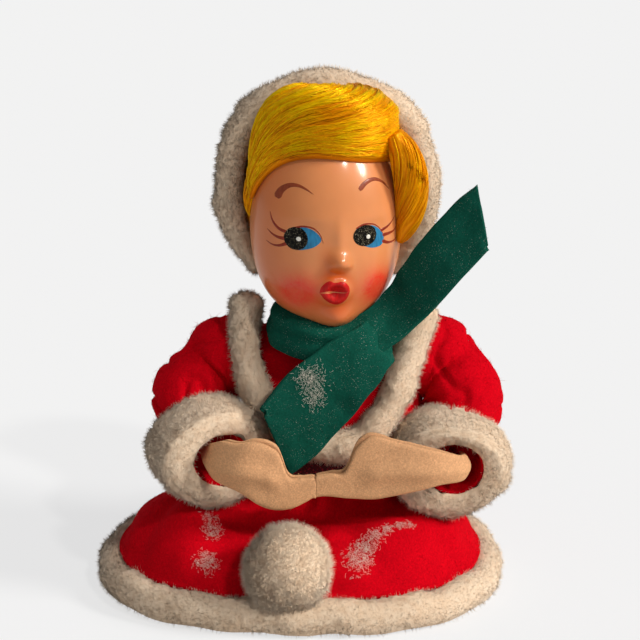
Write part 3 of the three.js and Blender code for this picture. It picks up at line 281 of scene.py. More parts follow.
def circle(along, reference, turn):
    """Circles of radius 1, rows by columns, square to a line."""
    first, second = square_to(along, reference)
    return first[:, None] * np.cos(turn)[None, :, None] + second[:, None] * np.sin(turn)[None, :, None]


def lattice(cell, seed):
    """A number from 0 to 1 for each whole cell: the fraction of a large sine."""
    value = np.sin(cell @ np.array([127.1, 311.7, 74.7]) + 53.7 * seed) * 43758.5453
    return value - np.floor(value)


def noise(points, size, seed=0):
    """Smooth noise from -1 to 1: random values on a cubic lattice, blended by smooth steps."""
    p = np.asarray(points, float) / size
    base = np.floor(p)
    w = p - base
    w = w * w * (3 - 2 * w)
    total = 0.0
    for corner in itertools.product((0.0, 1.0), repeat=3):
        share = np.prod(np.where(np.array(corner) > 0, w, 1 - w), axis=-1)
        total = total + share * lattice(base + np.array(corner), seed)
    return 2 * total - 1


def noise3(points, size, seed=0):
    return np.stack([noise(points, size, seed + k) for k in range(3)], -1)


def tufts(points, size, seed=0):
    """Height of rounded tufts, 1 at each tuft's middle: 1 less the distance to the nearest of
    one random place per lattice cell."""
    p = np.asarray(points, float) / size
    base = np.floor(p)
    nearest = np.full(p.shape[:-1], 9.0)
    for step in itertools.product((-1.0, 0.0, 1.0), repeat=3):
        cell = base + np.array(step)
        place = cell + np.stack([lattice(cell, seed + k) for k in range(3)], -1)
        nearest = np.minimum(nearest, np.linalg.norm(p - place, axis=-1))
    return 1 - np.minimum(nearest, 1.0)


# Meshes: a form is its points, its quads and triangles, and numbers at its points


def form(points, quads=None, tris=None, **marks):
    points = np.asarray(points, float).reshape(-1, 3)
    quads = np.zeros((0, 4), int) if quads is None else np.asarray(quads)
    tris = np.zeros((0, 3), int) if tris is None else np.asarray(tris)
    marks = {key: np.broadcast_to(np.ravel(value), (len(points),)) for key, value in marks.items()}
    return {"points": points, "quads": quads, "tris": tris, "marks": marks}


def joined(*forms):
    """Several forms as one: indices move on by the points before them."""
    starts = np.cumsum([0] + [len(f["points"]) for f in forms[:-1]])
    keys = set().union(*[f["marks"] for f in forms])
    filled = {
        key: np.concatenate([f["marks"].get(key, np.zeros(len(f["points"]))) for f in forms])
        for key in keys
    }
    return form(
        np.vstack([f["points"] for f in forms]),
        np.vstack([f["quads"] + s for f, s in zip(forms, starts)]),
        np.vstack([f["tris"] + s for f, s in zip(forms, starts)]),
        **filled,
    )


def turned_out(f):
    """A closed form with its faces looking out: its volume, summed over its faces, is positive."""
    p, q, t = f["points"], f["quads"], f["tris"]
    faces = np.vstack([q[:, [0, 1, 2]], q[:, [0, 2, 3]], t])
    a, b, c = (p[faces[:, k]] for k in range(3))
    if np.sum(a * np.cross(b, c)) >= 0:
        return f
    return {**f, "quads": q[:, ::-1], "tris": t[:, ::-1]}


def grid_quads(rows, columns, loop_rows=False, loop_columns=False):
    index = np.arange(rows * columns).reshape(rows, columns)
    if loop_rows:
        index = np.vstack([index, index[:1]])
    if loop_columns:
        index = np.hstack([index, index[:, :1]])
    corners = [index[:-1, :-1], index[:-1, 1:], index[1:, 1:], index[1:, :-1]]
    return np.stack(corners, -1).reshape(-1, 4)


def tube_form(points, ring=False, **marks):
    """Rows along a body and columns once around it. Its ends are closed by fans unless the rows
    close on themselves."""
    rows, columns = points.shape[:2]
    quads = grid_quads(rows, columns, ring, True)
    if ring:
        return turned_out(form(points, quads, **marks))
    ends = [0, rows - 1]
    flat = np.vstack([points.reshape(-1, 3), points[ends].mean(1)])
    marks = {
        key: np.concatenate([np.ravel(value), np.mean(value[ends], axis=1)])
        for key, value in marks.items()
    }
    around = np.arange(columns)
    after = np.roll(around, -1)
    near = np.stack([np.full(columns, rows * columns), after, around], -1)
    last = (rows - 1) * columns
    far = np.stack([np.full(columns, rows * columns + 1), last + around, last + after], -1)
    return turned_out(form(flat, quads, np.vstack([near, far]), **marks))


def sheet_form(front, back, loop_columns=False, **marks):
    """Two faces of a cloth joined along their edges. Where the columns go once around, only the
    first and last rows are edges."""
    if loop_columns:
        points = np.concatenate([front, back[::-1]])
        marks = {key: np.concatenate([value, value[::-1]]) for key, value in marks.items()}
        quads = grid_quads(*points.shape[:2], True, True)
        return turned_out(form(points, quads, **marks))
    points = np.concatenate([front, back[:, ::-1]], axis=1)
    marks = {key: np.concatenate([value, value[:, ::-1]], 1) for key, value in marks.items()}
    rows, columns = points.shape[:2]
    half = columns // 2
    quads = [grid_quads(rows, columns, False, True)]
    j = np.arange(half - 1)
    for row, order in ((0, [3, 2, 1, 0]), (rows - 1, [0, 1, 2, 3])):
        start = row * columns
        corners = [start + j, start + j + 1, start + columns - 2 - j, start + columns - 1 - j]
        quads.append(np.stack([corners[k] for k in order], -1))
    return turned_out(form(points, np.vstack(quads), **marks))


def patch_form(points, away_from):
    """An open skin of paint whose faces look away from a point."""
    quads = grid_quads(*points.shape[:2])
    flat = points.reshape(-1, 3)
    a, b, c = (flat[quads[:, k]] for k in (0, 1, 3))
    facing = np.sum(np.cross(b - a, c - a) * (a - away_from))
    return form(flat, quads if facing > 0 else quads[:, ::-1])


def grid_normals(points, loop_rows=False, loop_columns=False):
    """Square to the surface: the cross product of the steps along rows and columns, turned away
    from the middle of each row."""

    def step(axis, loop):
        if loop:
            return np.roll(points, -1, axis) - np.roll(points, 1, axis)
        return np.gradient(points, axis=axis)

    normal = unit(np.cross(step(0, loop_rows), step(1, loop_columns)))
    outward = np.sum(normal * (points - points.mean(axis=1, keepdims=True)))
    return normal if outward >= 0 else -normal


def scatter(points, normals, count, rng, loop_rows=False, loop_columns=True, weight=None):
    """Random places on a grid surface, equally many per area, with the normal there."""

    def corners(a):
        if loop_rows:
            a = np.concatenate([a, a[:1]])
        if loop_columns:
            a = np.concatenate([a, a[:, :1]], axis=1)
        quads = [a[:-1, :-1], a[1:, :-1], a[1:, 1:], a[:-1, 1:]]
        return [q.reshape(-1, a.shape[2]) for q in quads]

    a, b, c, d = corners(points)
    area = np.linalg.norm(np.cross(c - a, d - b), axis=1)
    if weight is not None:
        area = area * np.maximum(corners(weight[..., None])[0][:, 0], 0)
    pick = rng.choice(len(area), count, p=area / area.sum())
    u, v = rng.random((2, count, 1))
    shares = [(1 - u) * (1 - v), u * (1 - v), u * v, (1 - u) * v]
    place = sum(s * q[pick] for s, q in zip(shares, (a, b, c, d)))
    facing = sum(s * q[pick] for s, q in zip(shares, corners(normals)))
    return place, unit(facing)


def root_ring(aim, width):
    """Three places round each fibre, square to its aim."""
    first = unit(np.cross(aim, np.where(np.abs(aim[:, 2:]) < 0.8, UP, [[1.0, 0, 0]])))
    second = np.cross(aim, first)
    angle = TAU * np.arange(3)[None, :, None] / 3
    return (first[:, None] * np.cos(angle) + second[:, None] * np.sin(angle)) * width


def spikes(root, leave, reach, length, width, tint):
    """Short fibres: three-sided, straight from the root along leave to the middle, then along
    reach to a point."""
    count = len(root)
    leave, reach = unit(leave), unit(reach)
    length = np.broadcast_to(np.asarray(length, float).reshape(-1, 1), (count, 1))
    middle = root + leave * length * 0.5
    tip = middle + reach * length * 0.5
    ring = root_ring(leave, width)
    points = np.concatenate([root[:, None] + ring, middle[:, None] + ring * 0.8, tip[:, None]], 1)
    start = 7 * np.arange(count)[:, None]
    quads = np.vstack([start + np.array(q) for q in ([0, 1, 4, 3], [1, 2, 5, 4], [2, 0, 3, 5])])
    tris = np.vstack([start + np.array(t) for t in ([3, 4, 6], [4, 5, 6], [5, 3, 6], [0, 2, 1])])
    tint = np.broadcast_to(np.asarray(tint, float).reshape(-1, 1), (count, 1))
    # Painted shade at each fibre's root and painted light at its tip
    shade = np.array([[-0.25, -0.25, -0.25, 0, 0, 0, 0.12]])
    return form(points, quads, tris, tint=np.clip(tint + shade, 0, 1))


def threads(paths, width, tint):
    """Long fibres: a three-sided tube along each path, which narrows to a point at both ends."""
    count, steps = paths.shape[:2]
    along = unit(np.gradient(paths, axis=1))
    first = unit(np.cross(along, UP + 0.01))
    second = np.cross(along, first)
    k = np.linspace(0, 1, steps)[None, :, None, None]
    swell = np.sqrt(np.clip(np.sin(np.pi * k), 0.002, 1))
    angle = TAU * np.arange(3)[None, None, :, None] / 3
    ring = first[:, :, None] * np.cos(angle) + second[:, :, None] * np.sin(angle)
    width = np.broadcast_to(np.asarray(width, float).reshape(-1, 1, 1, 1), (count, 1, 1, 1))
    points = paths[:, :, None] + ring * swell * width
    quads = grid_quads(steps, 3, False, True)
    start = (3 * steps * np.arange(count))[:, None, None]
    ends = np.array([[0, 2, 1], [3 * steps - 3, 3 * steps - 2, 3 * steps - 1]])
    tint = np.asarray(tint, float).reshape(count, -1, 1) + np.zeros((count, steps, 3))
    return form(
        points,
        (quads[None] + start).reshape(-1, 4),
        (ends[None] + start).reshape(-1, 3),
        tint=np.clip(tint, 0, 1),
    )


def nap_marks(facing):
    """The way the cloth under a fibre faces, which the fibre's own shading follows."""
    return {"nap_" + axis: facing[..., k] for k, axis in enumerate("xyz")}


def cones(root, aim, length, width, tint, facing):
    """Very short fibres: three-sided points."""
    count = len(root)
    aim = unit(aim)
    tip = (root + aim * length[:, None])[:, None]
    points = np.concatenate([root[:, None] + root_ring(aim, width), tip], 1)
    start = 4 * np.arange(count)[:, None]
    tris = np.vstack([start + np.array(t) for t in ([0, 1, 3], [1, 2, 3], [2, 0, 3], [0, 2, 1])])
    # Painted shade at each fibre's root and painted light at its tip
    shade = tint[:, None] + np.array([[-0.12, -0.12, -0.12, 0.1]])
    marks = nap_marks(np.repeat(unit(facing + 0.4 * aim)[:, None], 4, axis=1))
    marks["pile"] = np.ones(4 * count)
    return form(points, None, tris, tint=np.clip(shade, 0, 1), **marks)


def fleece_form(surface, cloth, seed, ring=False, weight=None, long=1.0, dense=1.0):
    """Plush: a lumpy ground in rounded tufts with short, close pile standing on it. Near fibres
    lean the same way, by smooth noise, so that they gather in clumps."""
    rng = np.random.default_rng(seed)
    normals = grid_normals(surface, ring, True)
    lump = tufts(surface, 1.4, seed) - 0.45
    swell = noise(surface, 3.4, seed + 5)
    mask = 1.0 if weight is None else np.clip(weight, 0, 1)
    ground = surface + normals * (cloth["lump"] * (lump + 0.6 * swell) * mask - 0.1)[..., None]
    # Painted shade: the ground is darker between the tufts and lighter on their tops
    ground_tint = 0.5 + 0.28 * lump + 0.1 * noise(surface, 6, seed + 7)
    area = patch_area(surface, ring)
    count = int(area * cloth["density"] * dense * (1 if weight is None else np.mean(mask)))
    root, facing = scatter(ground, normals, count, rng, ring, True, weight)
    clump = noise3(root, 0.8, seed + 11) + 0.6 * noise3(root, 2.4, seed + 21)
    lean = clump - facing * dot(clump, facing)
    aim = facing * 0.9 + 0.6 * lean + rng.normal(0, 0.3, root.shape)
    length = cloth["pile"] * long * (0.55 + 0.9 * rng.random(count))
    # The fibres' tint follows the tufts as well: painted shade between them, painted light on their tops,
    # with some random tone
    tint = 0.62 + 0.5 * (tufts(root, 1.4, seed) - 0.45) + 0.12 * noise(root, 1.1, seed + 31)
    tint = tint + rng.normal(0, 0.05, count)
    return joined(
        tube_form(ground, ring, tint=ground_tint, **nap_marks(normals)),
        cones(root - facing * 0.1, aim, length, cloth["fibre"], tint, facing),
    )


def lint_form(surface, normals, spots, count, seed):
    """Curly white fibres caught on a cloth round some places: each wanders over the surface by
    small turns."""
    rng = np.random.default_rng(seed)
    weight = np.zeros(surface.shape[:2])
    for x, y, z, wide in spots:
        away = np.linalg.norm(surface - [x, y, z], axis=-1)
        weight = np.maximum(weight, bell(away / wide) - 0.05)
    root, facing = scatter(surface, normals, count, rng, False, False, weight)
    step = rng.normal(0, 1, (count, 8, 3))
    step = 0.75 * step + 0.9 * rng.normal(0, 1, (count, 1, 3))
    step = unit(step - facing[:, None] * dot(step, facing[:, None]))
    run = rng.uniform(0.04, 0.17, (count, 1, 1)) * np.cumsum(step, axis=1)
    lift = 0.1 + 0.3 * rng.random((count, 1, 1)) * np.sin(np.pi * np.linspace(0, 1, 8))[:, None]
    paths = root[:, None] + run + facing[:, None] * lift
    return threads(paths, rng.uniform(0.015, 0.032, count), np.full((count, 1), 0.9))


def patch_area(points, ring=False, loop=True):
    a = np.concatenate([points, points[:1]]) if ring else points
    a = np.concatenate([a, a[:, :1]], 1) if loop else a
    diagonal = np.cross(a[1:, 1:] - a[:-1, :-1], a[:-1, 1:] - a[1:, :-1])
    return 0.5 * np.sum(np.linalg.norm(diagonal, axis=-1))


def fuzz_form(surface, normals, per_area, seed, length=0.55, loop=False, weight=None):
    """Loose felt fibres that lie almost flat on a cloth and curl up at one end."""
    rng = np.random.default_rng(seed)
    count = int(patch_area(surface, False, loop) * per_area)
    root, facing = scatter(surface, normals, count, rng, False, loop, weight)
    side = rng.normal(0, 1, root.shape)
    side = unit(side - facing * dot(side, facing))
    turn = unit(side + rng.normal(0, 0.7, root.shape))
    sizes = length * (0.5 + rng.random(count))
    tint = 0.5 + 0.3 * rng.random(count)
    return spikes(
        root - facing * 0.03, side + 0.45 * facing, turn + 0.5 * facing, sizes, 0.026, tint
    )


def put(name, shape, finish, body, replaces=()):
    """Makes the object in metres, with smooth faces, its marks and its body."""
    mesh = bpy.data.meshes.new(name)
    points, quads, tris = shape["points"], shape["quads"], shape["tris"]
    loops = np.concatenate([quads.ravel(), tris.ravel()]).astype(np.int32)
    sizes = np.concatenate([np.full(len(quads), 4), np.full(len(tris), 3)])
    mesh.vertices.add(len(points))
    mesh.vertices.foreach_set("co", (points * MM).astype(np.float32).ravel())
    mesh.loops.add(len(loops))
    mesh.loops.foreach_set("vertex_index", loops)
    mesh.polygons.add(len(sizes))
    mesh.polygons.foreach_set("loop_start", (np.cumsum(sizes) - sizes).astype(np.int32))
    mesh.polygons.foreach_set("use_smooth", np.ones(len(sizes), bool))
    for key, value in shape["marks"].items():
        mark = mesh.attributes.new(key, "FLOAT", "POINT")
        mark.data.foreach_set("value", np.ascontiguousarray(value, dtype=np.float32))
    mesh.update(calc_edges=True)
    mesh.validate()
    piece = bpy.data.objects.new(name, mesh)
    bpy.context.scene.collection.objects.link(piece)
    mesh.materials.append(finish)
    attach(piece, body)
    if replaces:
        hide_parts(*replaces)
    return piece


# Materials


def colour(code, gain=1.0):
    """Linear red, green, blue and alpha from a colour as it is written on a screen."""
    values = np.array([int(code[k : k + 2], 16) for k in (0, 2, 4)]) / 255
    linear = np.where(values <= 0.04045, values / 12.92, ((values + 0.055) / 1.055) ** 2.4)
    return (*np.clip(linear * gain, 0, 1), 1.0)


class Finish:
    """A material and its nodes. Lengths of patterns are millimetres on the object."""

    def __init__(self, name, **sockets):
        self.material = bpy.data.materials.new(name)
        self.material.use_nodes = True
        self.tree = self.material.node_tree
        self.shader = self.tree.nodes["Principled BSDF"]
        for key, value in sockets.items():
            self.socket(key).default_value = value
        self.place = self.add("TexCoord").outputs["Object"]

    def socket(self, key):
        return self.shader.inputs[key.replace("_", " ").title().replace("Ior", "IOR")]

    def feed(self, socket, value):
        if isinstance(value, bpy.types.NodeSocket):
            self.tree.links.new(value, socket)
        else:
            socket.default_value = value

    def add(self, kind, sockets=None, **settings):
        made = self.tree.nodes.new("ShaderNode" + kind)
        for key, value in settings.items():
            setattr(made, key, value)
        for key, value in (sockets or {}).items():
            self.feed(made.inputs[key], value)
        return made

    def moved(self, turn=(0, 0, 0), stretch=(1, 1, 1)):
        sockets = {"Vector": self.place, "Rotation": turn, "Scale": stretch}
        return self.add("Mapping", sockets).outputs[0]

    def grain(self, size, detail, place=None):
        sockets = {"Vector": place or self.place, "Scale": 1 / (size * MM), "Detail": detail}
        return self.add("TexNoise", {**sockets, "Roughness": 0.5}).outputs["Fac"]

    def cells(self, size, place):
        sockets = {"Vector": place, "Scale": 1 / (size * MM)}
        return self.add("TexVoronoi", sockets).outputs["Distance"]

    def mark(self, name):
        return self.add("Attribute", attribute_name=name).outputs["Fac"]

    def span(self, value, low, high, to_low=0.0, to_high=1.0):
        sockets = {"Value": value, "From Min": low, "From Max": high}
        return self.add("MapRange", {**sockets, "To Min": to_low, "To Max": to_high}).outputs[0]

    def larger(self, a, b):
        return self.add("Math", {0: a, 1: b}, operation="MAXIMUM").outputs[0]

    def times(self, a, b):
        return self.add("Math", {0: a, 1: b}, operation="MULTIPLY").outputs[0]

    def blend(self, share, a, b):
        made = self.add("Mix", data_type="RGBA")
        for key, value in {"Factor": share, "A": a, "B": b}.items():
            self.feed(next(s for s in made.inputs if s.name == key and s.enabled), value)
        return next(s for s in made.outputs if s.enabled)

    def ramp(self, share, stops):
        made = self.add("ValToRGB", {"Fac": share})
        steps = made.color_ramp.elements
        while len(steps) < len(stops):
            steps.new(0.5)
        for step, (place, code) in zip(steps, stops):
            step.position = place
            step.color = code
        return made.outputs["Color"]

    def bump(self, height, distance, strength=0.5, after=None):
        sockets = {"Height": height, "Distance": distance * MM, "Strength": strength}
        if after is not None:
            sockets["Normal"] = after
        return self.add("Bump", sockets).outputs[0]

    def let_through(self, share, tone, normal):
        """A share of the light comes out on the far side."""
        out = self.tree.nodes["Material Output"]
        thin = self.add("BsdfTranslucent", {"Color": tone, "Normal": normal}).outputs[0]
        both = self.add("MixShader", {0: share, 1: self.shader.outputs[0], 2: thin}).outputs[0]
        self.tree.links.new(both, out.inputs["Surface"])

    def light_shadow(self, share):
        """A share of the lamps' light passes, where a shadow would fall."""
        socket = self.tree.nodes["Material Output"].inputs["Surface"]
        whole = socket.links[0].from_socket
        shadow = self.add("LightPath").outputs["Is Shadow Ray"]
        share = self.times(share, shadow)
        clear = self.add("BsdfTransparent").outputs[0]
        both = self.add("MixShader", {0: share, 1: whole, 2: clear}).outputs[0]
        self.tree.links.new(both, socket)

    def set(self, **sockets):
        for key, value in sockets.items():
            self.tree.links.new(value, self.socket(key))
        return self.material


def felt_finish(name, base, specks):
    """Pressed wool: matted fibres in three directions, mottled a little, with a soft sheen."""
    f = Finish(
        name,
        roughness=0.95,
        specular_ior_level=0.04,
        sheen_weight=0.3,
        sheen_roughness=0.5,
        sheen_tint=colour(base, 1.5),
    )
    fibres = [
        f.grain(0.34, 3, f.moved((0.5, 0.3, angle), (1, 0.18, 1))) for angle in (0.2, 1.3, 2.4)
    ]
    matted = f.larger(f.larger(fibres[0], fibres[1]), fibres[2])
    mottle = f.grain(3.6, 4)
    tone = f.blend(f.span(matted, 0.5, 0.8), colour(base, 0.74), colour(base, 1.14))
    tone = f.blend(f.span(mottle, 0.35, 0.7, 0, 0.35), tone, colour(base, 0.7))
    # Fuzz fibres turn paler by their tint: random tone, and painted light at their tips
    tone = f.blend(f.span(f.mark("tint"), 0.5, 1.0, 0, 0.3), tone, colour(base, 1.6))
    if specks:
        patches = f.span(f.grain(2.4, 2), 0.4, 0.6)
        dust = f.times(f.span(f.grain(0.2, 1), 0.66, 0.72), patches)
        tone = f.blend(f.times(dust, specks), tone, colour("c8d6cc"))
    pits = f.bump(f.grain(1.1, 4), 0.2, 0.5)
    return f.set(base_color=tone, normal=f.bump(matted, 0.1, 0.6, pits))


def fleece_finish(name, deep, light):
    """Plush pile: painted shade darkens the ground between the tufts and the roots of the fibres, and the
    paler tips stand for painted light, with soft patches of random tone. It shades as the cloth below faces,
    and a part of the light comes through."""
    f = Finish(name, roughness=0.95, specular_ior_level=0.05, sheen_weight=0.25, sheen_roughness=0.6)
    tone = f.blend(f.span(f.mark("tint"), 0.2, 0.72), colour(deep), colour(light))
    patches = f.span(f.grain(4.5, 4), 0.4, 0.75, 0, 0.18)
    tone = f.blend(patches, tone, colour(deep))
    nap = f.add("CombineXYZ", {k: f.mark("nap_" + axis) for k, axis in enumerate("xyz")})
    turned = {"vector_type": "NORMAL", "convert_from": "OBJECT", "convert_to": "WORLD"}
    world = f.add("VectorTransform", {"Vector": nap.outputs[0]}, **turned)
    normal = f.bump(f.grain(0.5, 3), 0.2, 0.6, world.outputs[0])
    f.let_through(0.2, tone, normal)
    f.light_shadow(f.times(f.mark("pile"), 0.85))
    return f.set(base_color=tone, normal=normal)


def skin_finish(name, base, blush):
    """Moulded plastic under thin gloss lacquer, with sprayed blush, a faint uneven colour and painted shade
    in brown-orange.
    """
    f = Finish(
        name,
        roughness=0.4,
        specular_ior_level=0.22,
        coat_weight=0.5,
        coat_roughness=0.16,
        subsurface_weight=0.12,
        subsurface_radius=(0.9, 0.35, 0.15),
        subsurface_scale=1.6 * MM,
    )
    tone = f.blend(f.span(f.grain(7, 2), 0.35, 0.65), colour(base), colour(base, 0.93))
    # Painted shade: brown-orange where the head's shade mark is high, on its left side, lower face, beside
    # the nose and round the mouth
    tone = f.blend(f.mark("warm"), tone, colour("d05a10"))
    speckle = f.span(f.grain(0.55, 2), 0.3, 0.7, 0.75, 1.0)
    tone = f.blend(f.times(f.mark("blush"), speckle), tone, blush)
    return f.set(base_color=tone, normal=f.bump(f.grain(1.6, 2), 0.05, 0.35))


def floss_finish(name):
    """Combed satin floss, glossy. Its tint runs from amber, painted shade in the depth, to gold, painted
    light on the outer threads.
    """
    f = Finish(name, roughness=0.36, specular_ior_level=0.12, metallic=0.35)
    shades = zip((0.0, 0.3, 0.6, 1.0), map(colour, ("b05400", "e88c00", "ffb200", "ffdf00")))
    tone = f.ramp(f.mark("tint"), list(shades))
    tone = f.blend(f.span(f.grain(3.2, 2), 0.45, 0.75, 0, 0.25), tone, colour("ee8e00"))
    return f.set(base_color=tone, normal=f.bump(f.grain(0.12, 1), 0.03, 0.4))


def paint_finish(name, base, glitter=0.0, gloss=0.2):
    """Brushed enamel with faint streaks; the pupils hold fine pale flecks."""
    f = Finish(name, roughness=0.45, specular_ior_level=gloss, coat_weight=gloss, coat_roughness=0.15)
    streak = f.grain(0.5, 3, f.moved((0, 0.4, 0.3), (1, 1, 0.3)))
    tone = f.blend(f.span(streak, 0.3, 0.7), colour(base, 0.75), colour(base, 1.2))
    if glitter:
        fleck = f.span(f.grain(0.13, 1), 0.6, 0.68)
        rare = f.span(f.grain(0.5, 1), 0.42, 0.56)
        tone = f.blend(f.times(fleck, rare), tone, colour("d8cfae", glitter))
    return f.set(base_color=tone, normal=f.bump(streak, 0.03, 0.3))


PLAIN_LOOKS = {
    "base cardboard": {
        "sockets": {"roughness": 0.9, "specular_ior_level": 0.2},
        "grain": (0.8, 4, (1, 0.35, 1)),
        "tones": (0.35, 0.7, "8f7c5e", "b19c78"),
        "bump": (0.08, 0.4),
    },
    "neck wood": {
        "sockets": {"roughness": 0.6, "specular_ior_level": 0.3},
        "grain": (1.2, 3, (1, 1, 0.08)),
        "tones": (0.35, 0.65, "a87a45", "d3ad78"),
        "bump": (0.05, 0.4),
    },
    "wire steel": {
        "sockets": {"roughness": 0.38, "metallic": 1.0},
        "grain": (0.3, 3, (0.1, 1, 1)),
        "tones": (0.3, 0.7, "83888d", "a7abb0"),
        "bump": (0.02, 0.4),
    },
}


def plain_finish(name):
    """One grain, drawn out in a direction, that runs between two tones and stands out a little."""
    look = PLAIN_LOOKS[name]
    f = Finish(name, **look["sockets"])
    size, detail, stretch = look["grain"]
    pattern = f.grain(size, detail, f.moved(stretch=stretch))
    low, high, dark, light = look["tones"]
    tone = f.blend(f.span(pattern, low, high), colour(dark), colour(light))
    return f.set(base_color=tone, normal=f.bump(pattern, *look["bump"]))


def gauze_finish(name):
    """Open net tape: fine crossed threads over a darker ground."""
    f = Finish(name, roughness=0.85, specular_ior_level=0.25, sheen_weight=0.3)
    net = f.cells(0.55, f.moved(stretch=(1, 1, 1.3)))
    tone = f.blend(f.span(net, 0.15, 0.45), colour("a01e30"), colour("4d0a16"))
    return f.set(base_color=tone, normal=f.bump(net, 0.15, 0.8))


def lint_finish(name):
    """White fibres that some of the light comes through."""
    f = Finish(name, base_color=colour("fffaf2"), roughness=0.9)
    f.let_through(0.4, colour("fffaf2"), f.add("NewGeometry").outputs["Normal"])
    return f.material


def hexed(value):
    """A colour property as six hexadecimal digits."""
    linear = np.array(value[:3])
    screen = np.where(linear <= 0.0031308, linear * 12.92, 1.055 * linear ** (1 / 2.4) - 0.055)
    return "".join(f"{int(round(255 * min(1, max(0, v)))):02x}" for v in screen)


def made(build, name, *arguments):
    """The material of that name, built on its first use."""
    return bpy.data.materials.get(name) or build(name, *arguments)


def cloth_of(scene):
    doll = scene.doll_cloth
    return {
        "pile": doll.pile_length / MM,
        "fibre": doll.fibre_radius / MM,
        "lump": doll.tuft_height / MM,
        "density": doll.pile_density,
    }


def felt(which):
    """Red, green or hand felt. The green is the least even, with pale specks of dust."""
    name, base = which + " felt", hexed(getattr(bpy.context.scene.doll_colours, which))
    return made(felt_finish, name, base, 0.35 if which == "green" else 0.0)


def fleece():
    tones = bpy.context.scene.doll_colours
    return made(fleece_finish, "fleece", hexed(tones.fleece_deep), hexed(tones.fleece))


def put_felt(name, which, body, node, faces, loop=False):
    """A felt piece between its outer and inner face."""
    piece = put(name, sheet_form(*faces, loop), felt(which), body, [node])


def put_fuzz(name, which, body, *shapes):
    put(name, joined(*shapes), felt(which), body)


def put_fleece(name, shape, body, node):
    put(name, shape, fleece(), body, [node])


def put_lint(name, shape):
    put(name, shape, made(lint_finish, "white lint"), "body")


# Skirt, hem, pompom and waist


def fold_at(angle):
    return np.cos(3 * (angle + FOLD_TURN))


def skirt_point(t, turn):
    """Waist circle widening to the hem circle with three broad folds, on the height line."""
    angle = TAU * turn
    shift = smoothstep(t, 0, 0.7)
    radius = mix(WAIST_RADIUS, HEM_RADIUS + FOLD_DEPTH * fold_at(angle), t)
    swell = np.sin(np.pi * np.clip(t, 0, 1) ** 1.6) ** 2
    rise = FOLD_RISE / 2 * fold_at(angle) * swell
    return xyz(
        SKIRT_SHIFT[0] * shift + radius * np.cos(angle),
        SKIRT_SHIFT[1] * shift + radius * np.sin(angle),
        stations(t, SKIRT_STATIONS, SKIRT_HEIGHTS) + rise,
    )


def open_and_round(rows, columns, end=1.0):
    """Shares down a surface and turns once around it, as two grids."""
    return np.meshgrid(np.linspace(0, end, rows), np.arange(columns) / columns, indexing="ij")


def raised_normals(surface):
    normals = grid_normals(surface, False, True)
    return normals if normals[..., 2].mean() >= 0 else -normals


def skirt_grid(rows, columns):
    """The skirt's outside with gathers that leave the waist and soft dents further out."""
    t, turn = open_and_round(rows, columns)
    surface = skirt_point(t, turn)
    angle = TAU * turn
    waver = angle + 0.12 * np.sin(3 * angle) + 0.05 * t
    pleats = np.cos(21 * waver) * bell((t - 0.1) / 0.16) * 0.55
    dents = noise(surface, 9, 3) * 0.6 + noise(surface, 4, 4) * 0.2
    off = (angle - np.radians(262) + 0.35 * (1 - t)) / 0.24
    valley = -2.3 * bell(off) + 1.1 * bell(np.abs(off) - 2.3)
    dimples = ((236, -0.8, 0.1), (292, -1.1, 0.11), (318, -0.7, 0.08), (205, -0.8, 0.1))
    for place, depth, wide in dimples:
        valley = valley + depth * bell((angle - np.radians(place) - 0.3 * (t - 0.6)) / wide)
    valley = valley * smoothstep(t, 0.25, 0.6)
    calm = smoothstep(t, 0.0, 0.1) * (1 - smoothstep(t, 0.9, 1))
    move = ((pleats + dents + valley) * calm)[..., None]
    surface = surface + raised_normals(surface) * move
    return surface, raised_normals(surface)


def hem_grid(rows, columns):
    """A roll round the hem: a circle about the edge, moved out and pressed flat on the ground."""
    u, v = np.meshgrid(np.arange(rows) / rows, np.arange(columns) / columns, indexing="ij")
    edge = skirt_point(np.ones_like(u), u)
    angle = TAU * u
    lump = 0.22 * np.sin(17 * angle) * np.sin(TAU * v) + 0.2 * noise(edge, 7, 9)
    radius = HEM_ROLL + lump - 0.1
    out = HEM_ROLL_OUT + radius * np.cos(TAU * v)
    height = HEM_ROLL - 0.25 + radius * np.sin(TAU * v)
    edge = edge + xyz(np.cos(angle), np.sin(angle), 0) * out[..., None]
    edge[..., 2] = np.maximum(0.35, height)
    return edge


def pompom_centre():
    out = HEM_RADIUS + FOLD_DEPTH * fold_at(POMPOM_ANGLE) - POMPOM_SINK
    x, y = out * np.cos(POMPOM_ANGLE), out * np.sin(POMPOM_ANGLE)
    return np.array([SKIRT_SHIFT[0] + x, SKIRT_SHIFT[1] + y, POMPOM_HEIGHT])


def ball_grid(centre, radius, rows, columns):
    latitude = np.pi * (np.linspace(0.02, 0.98, rows) - 0.5)[:, None]
    turn = (TAU * np.arange(columns) / columns)[None]
    flat = np.cos(latitude)
    return centre + radius * xyz(flat * np.cos(turn), flat * np.sin(turn), np.sin(latitude))


# Upper body


def torso_point(height, turn, grow=0.0):
    """Rounded-square section, deeper at the front than at the back, through the stations."""
    half = stations(height, TORSO_HEIGHTS, TORSO_HALVES) + grow
    front = stations(height, TORSO_HEIGHTS, TORSO_FRONTS) + grow
    back = stations(height, TORSO_HEIGHTS, TORSO_BACKS) + grow
    c, s = np.cos(TAU * turn), np.sin(TAU * turn)
    power = 2 / TORSO_SQUARENESS
    depth = np.where(s < 0, front, back)
    return xyz(half * signed_power(c, power), depth * signed_power(s, power), height)


def jacket_front(across, height):
    half = stations(height, TORSO_HEIGHTS, TORSO_HALVES)
    front = stations(height, TORSO_HEIGHTS, TORSO_FRONTS)
    share = np.minimum(1, np.abs(across) / (half + FELT))
    rounding = (1 - share**TORSO_SQUARENESS) ** (1 / TORSO_SQUARENESS)
    return -(front + CLEARANCE + FELT) * rounding


def trim_line():
    rise = TRIM_RADIUS - TRIM_SINK
    spots = [
        (x, jacket_front(x, z) - rise if y is None else y, z) for x, z, y in TRIM_ROUTE
    ]
    return through(spots)


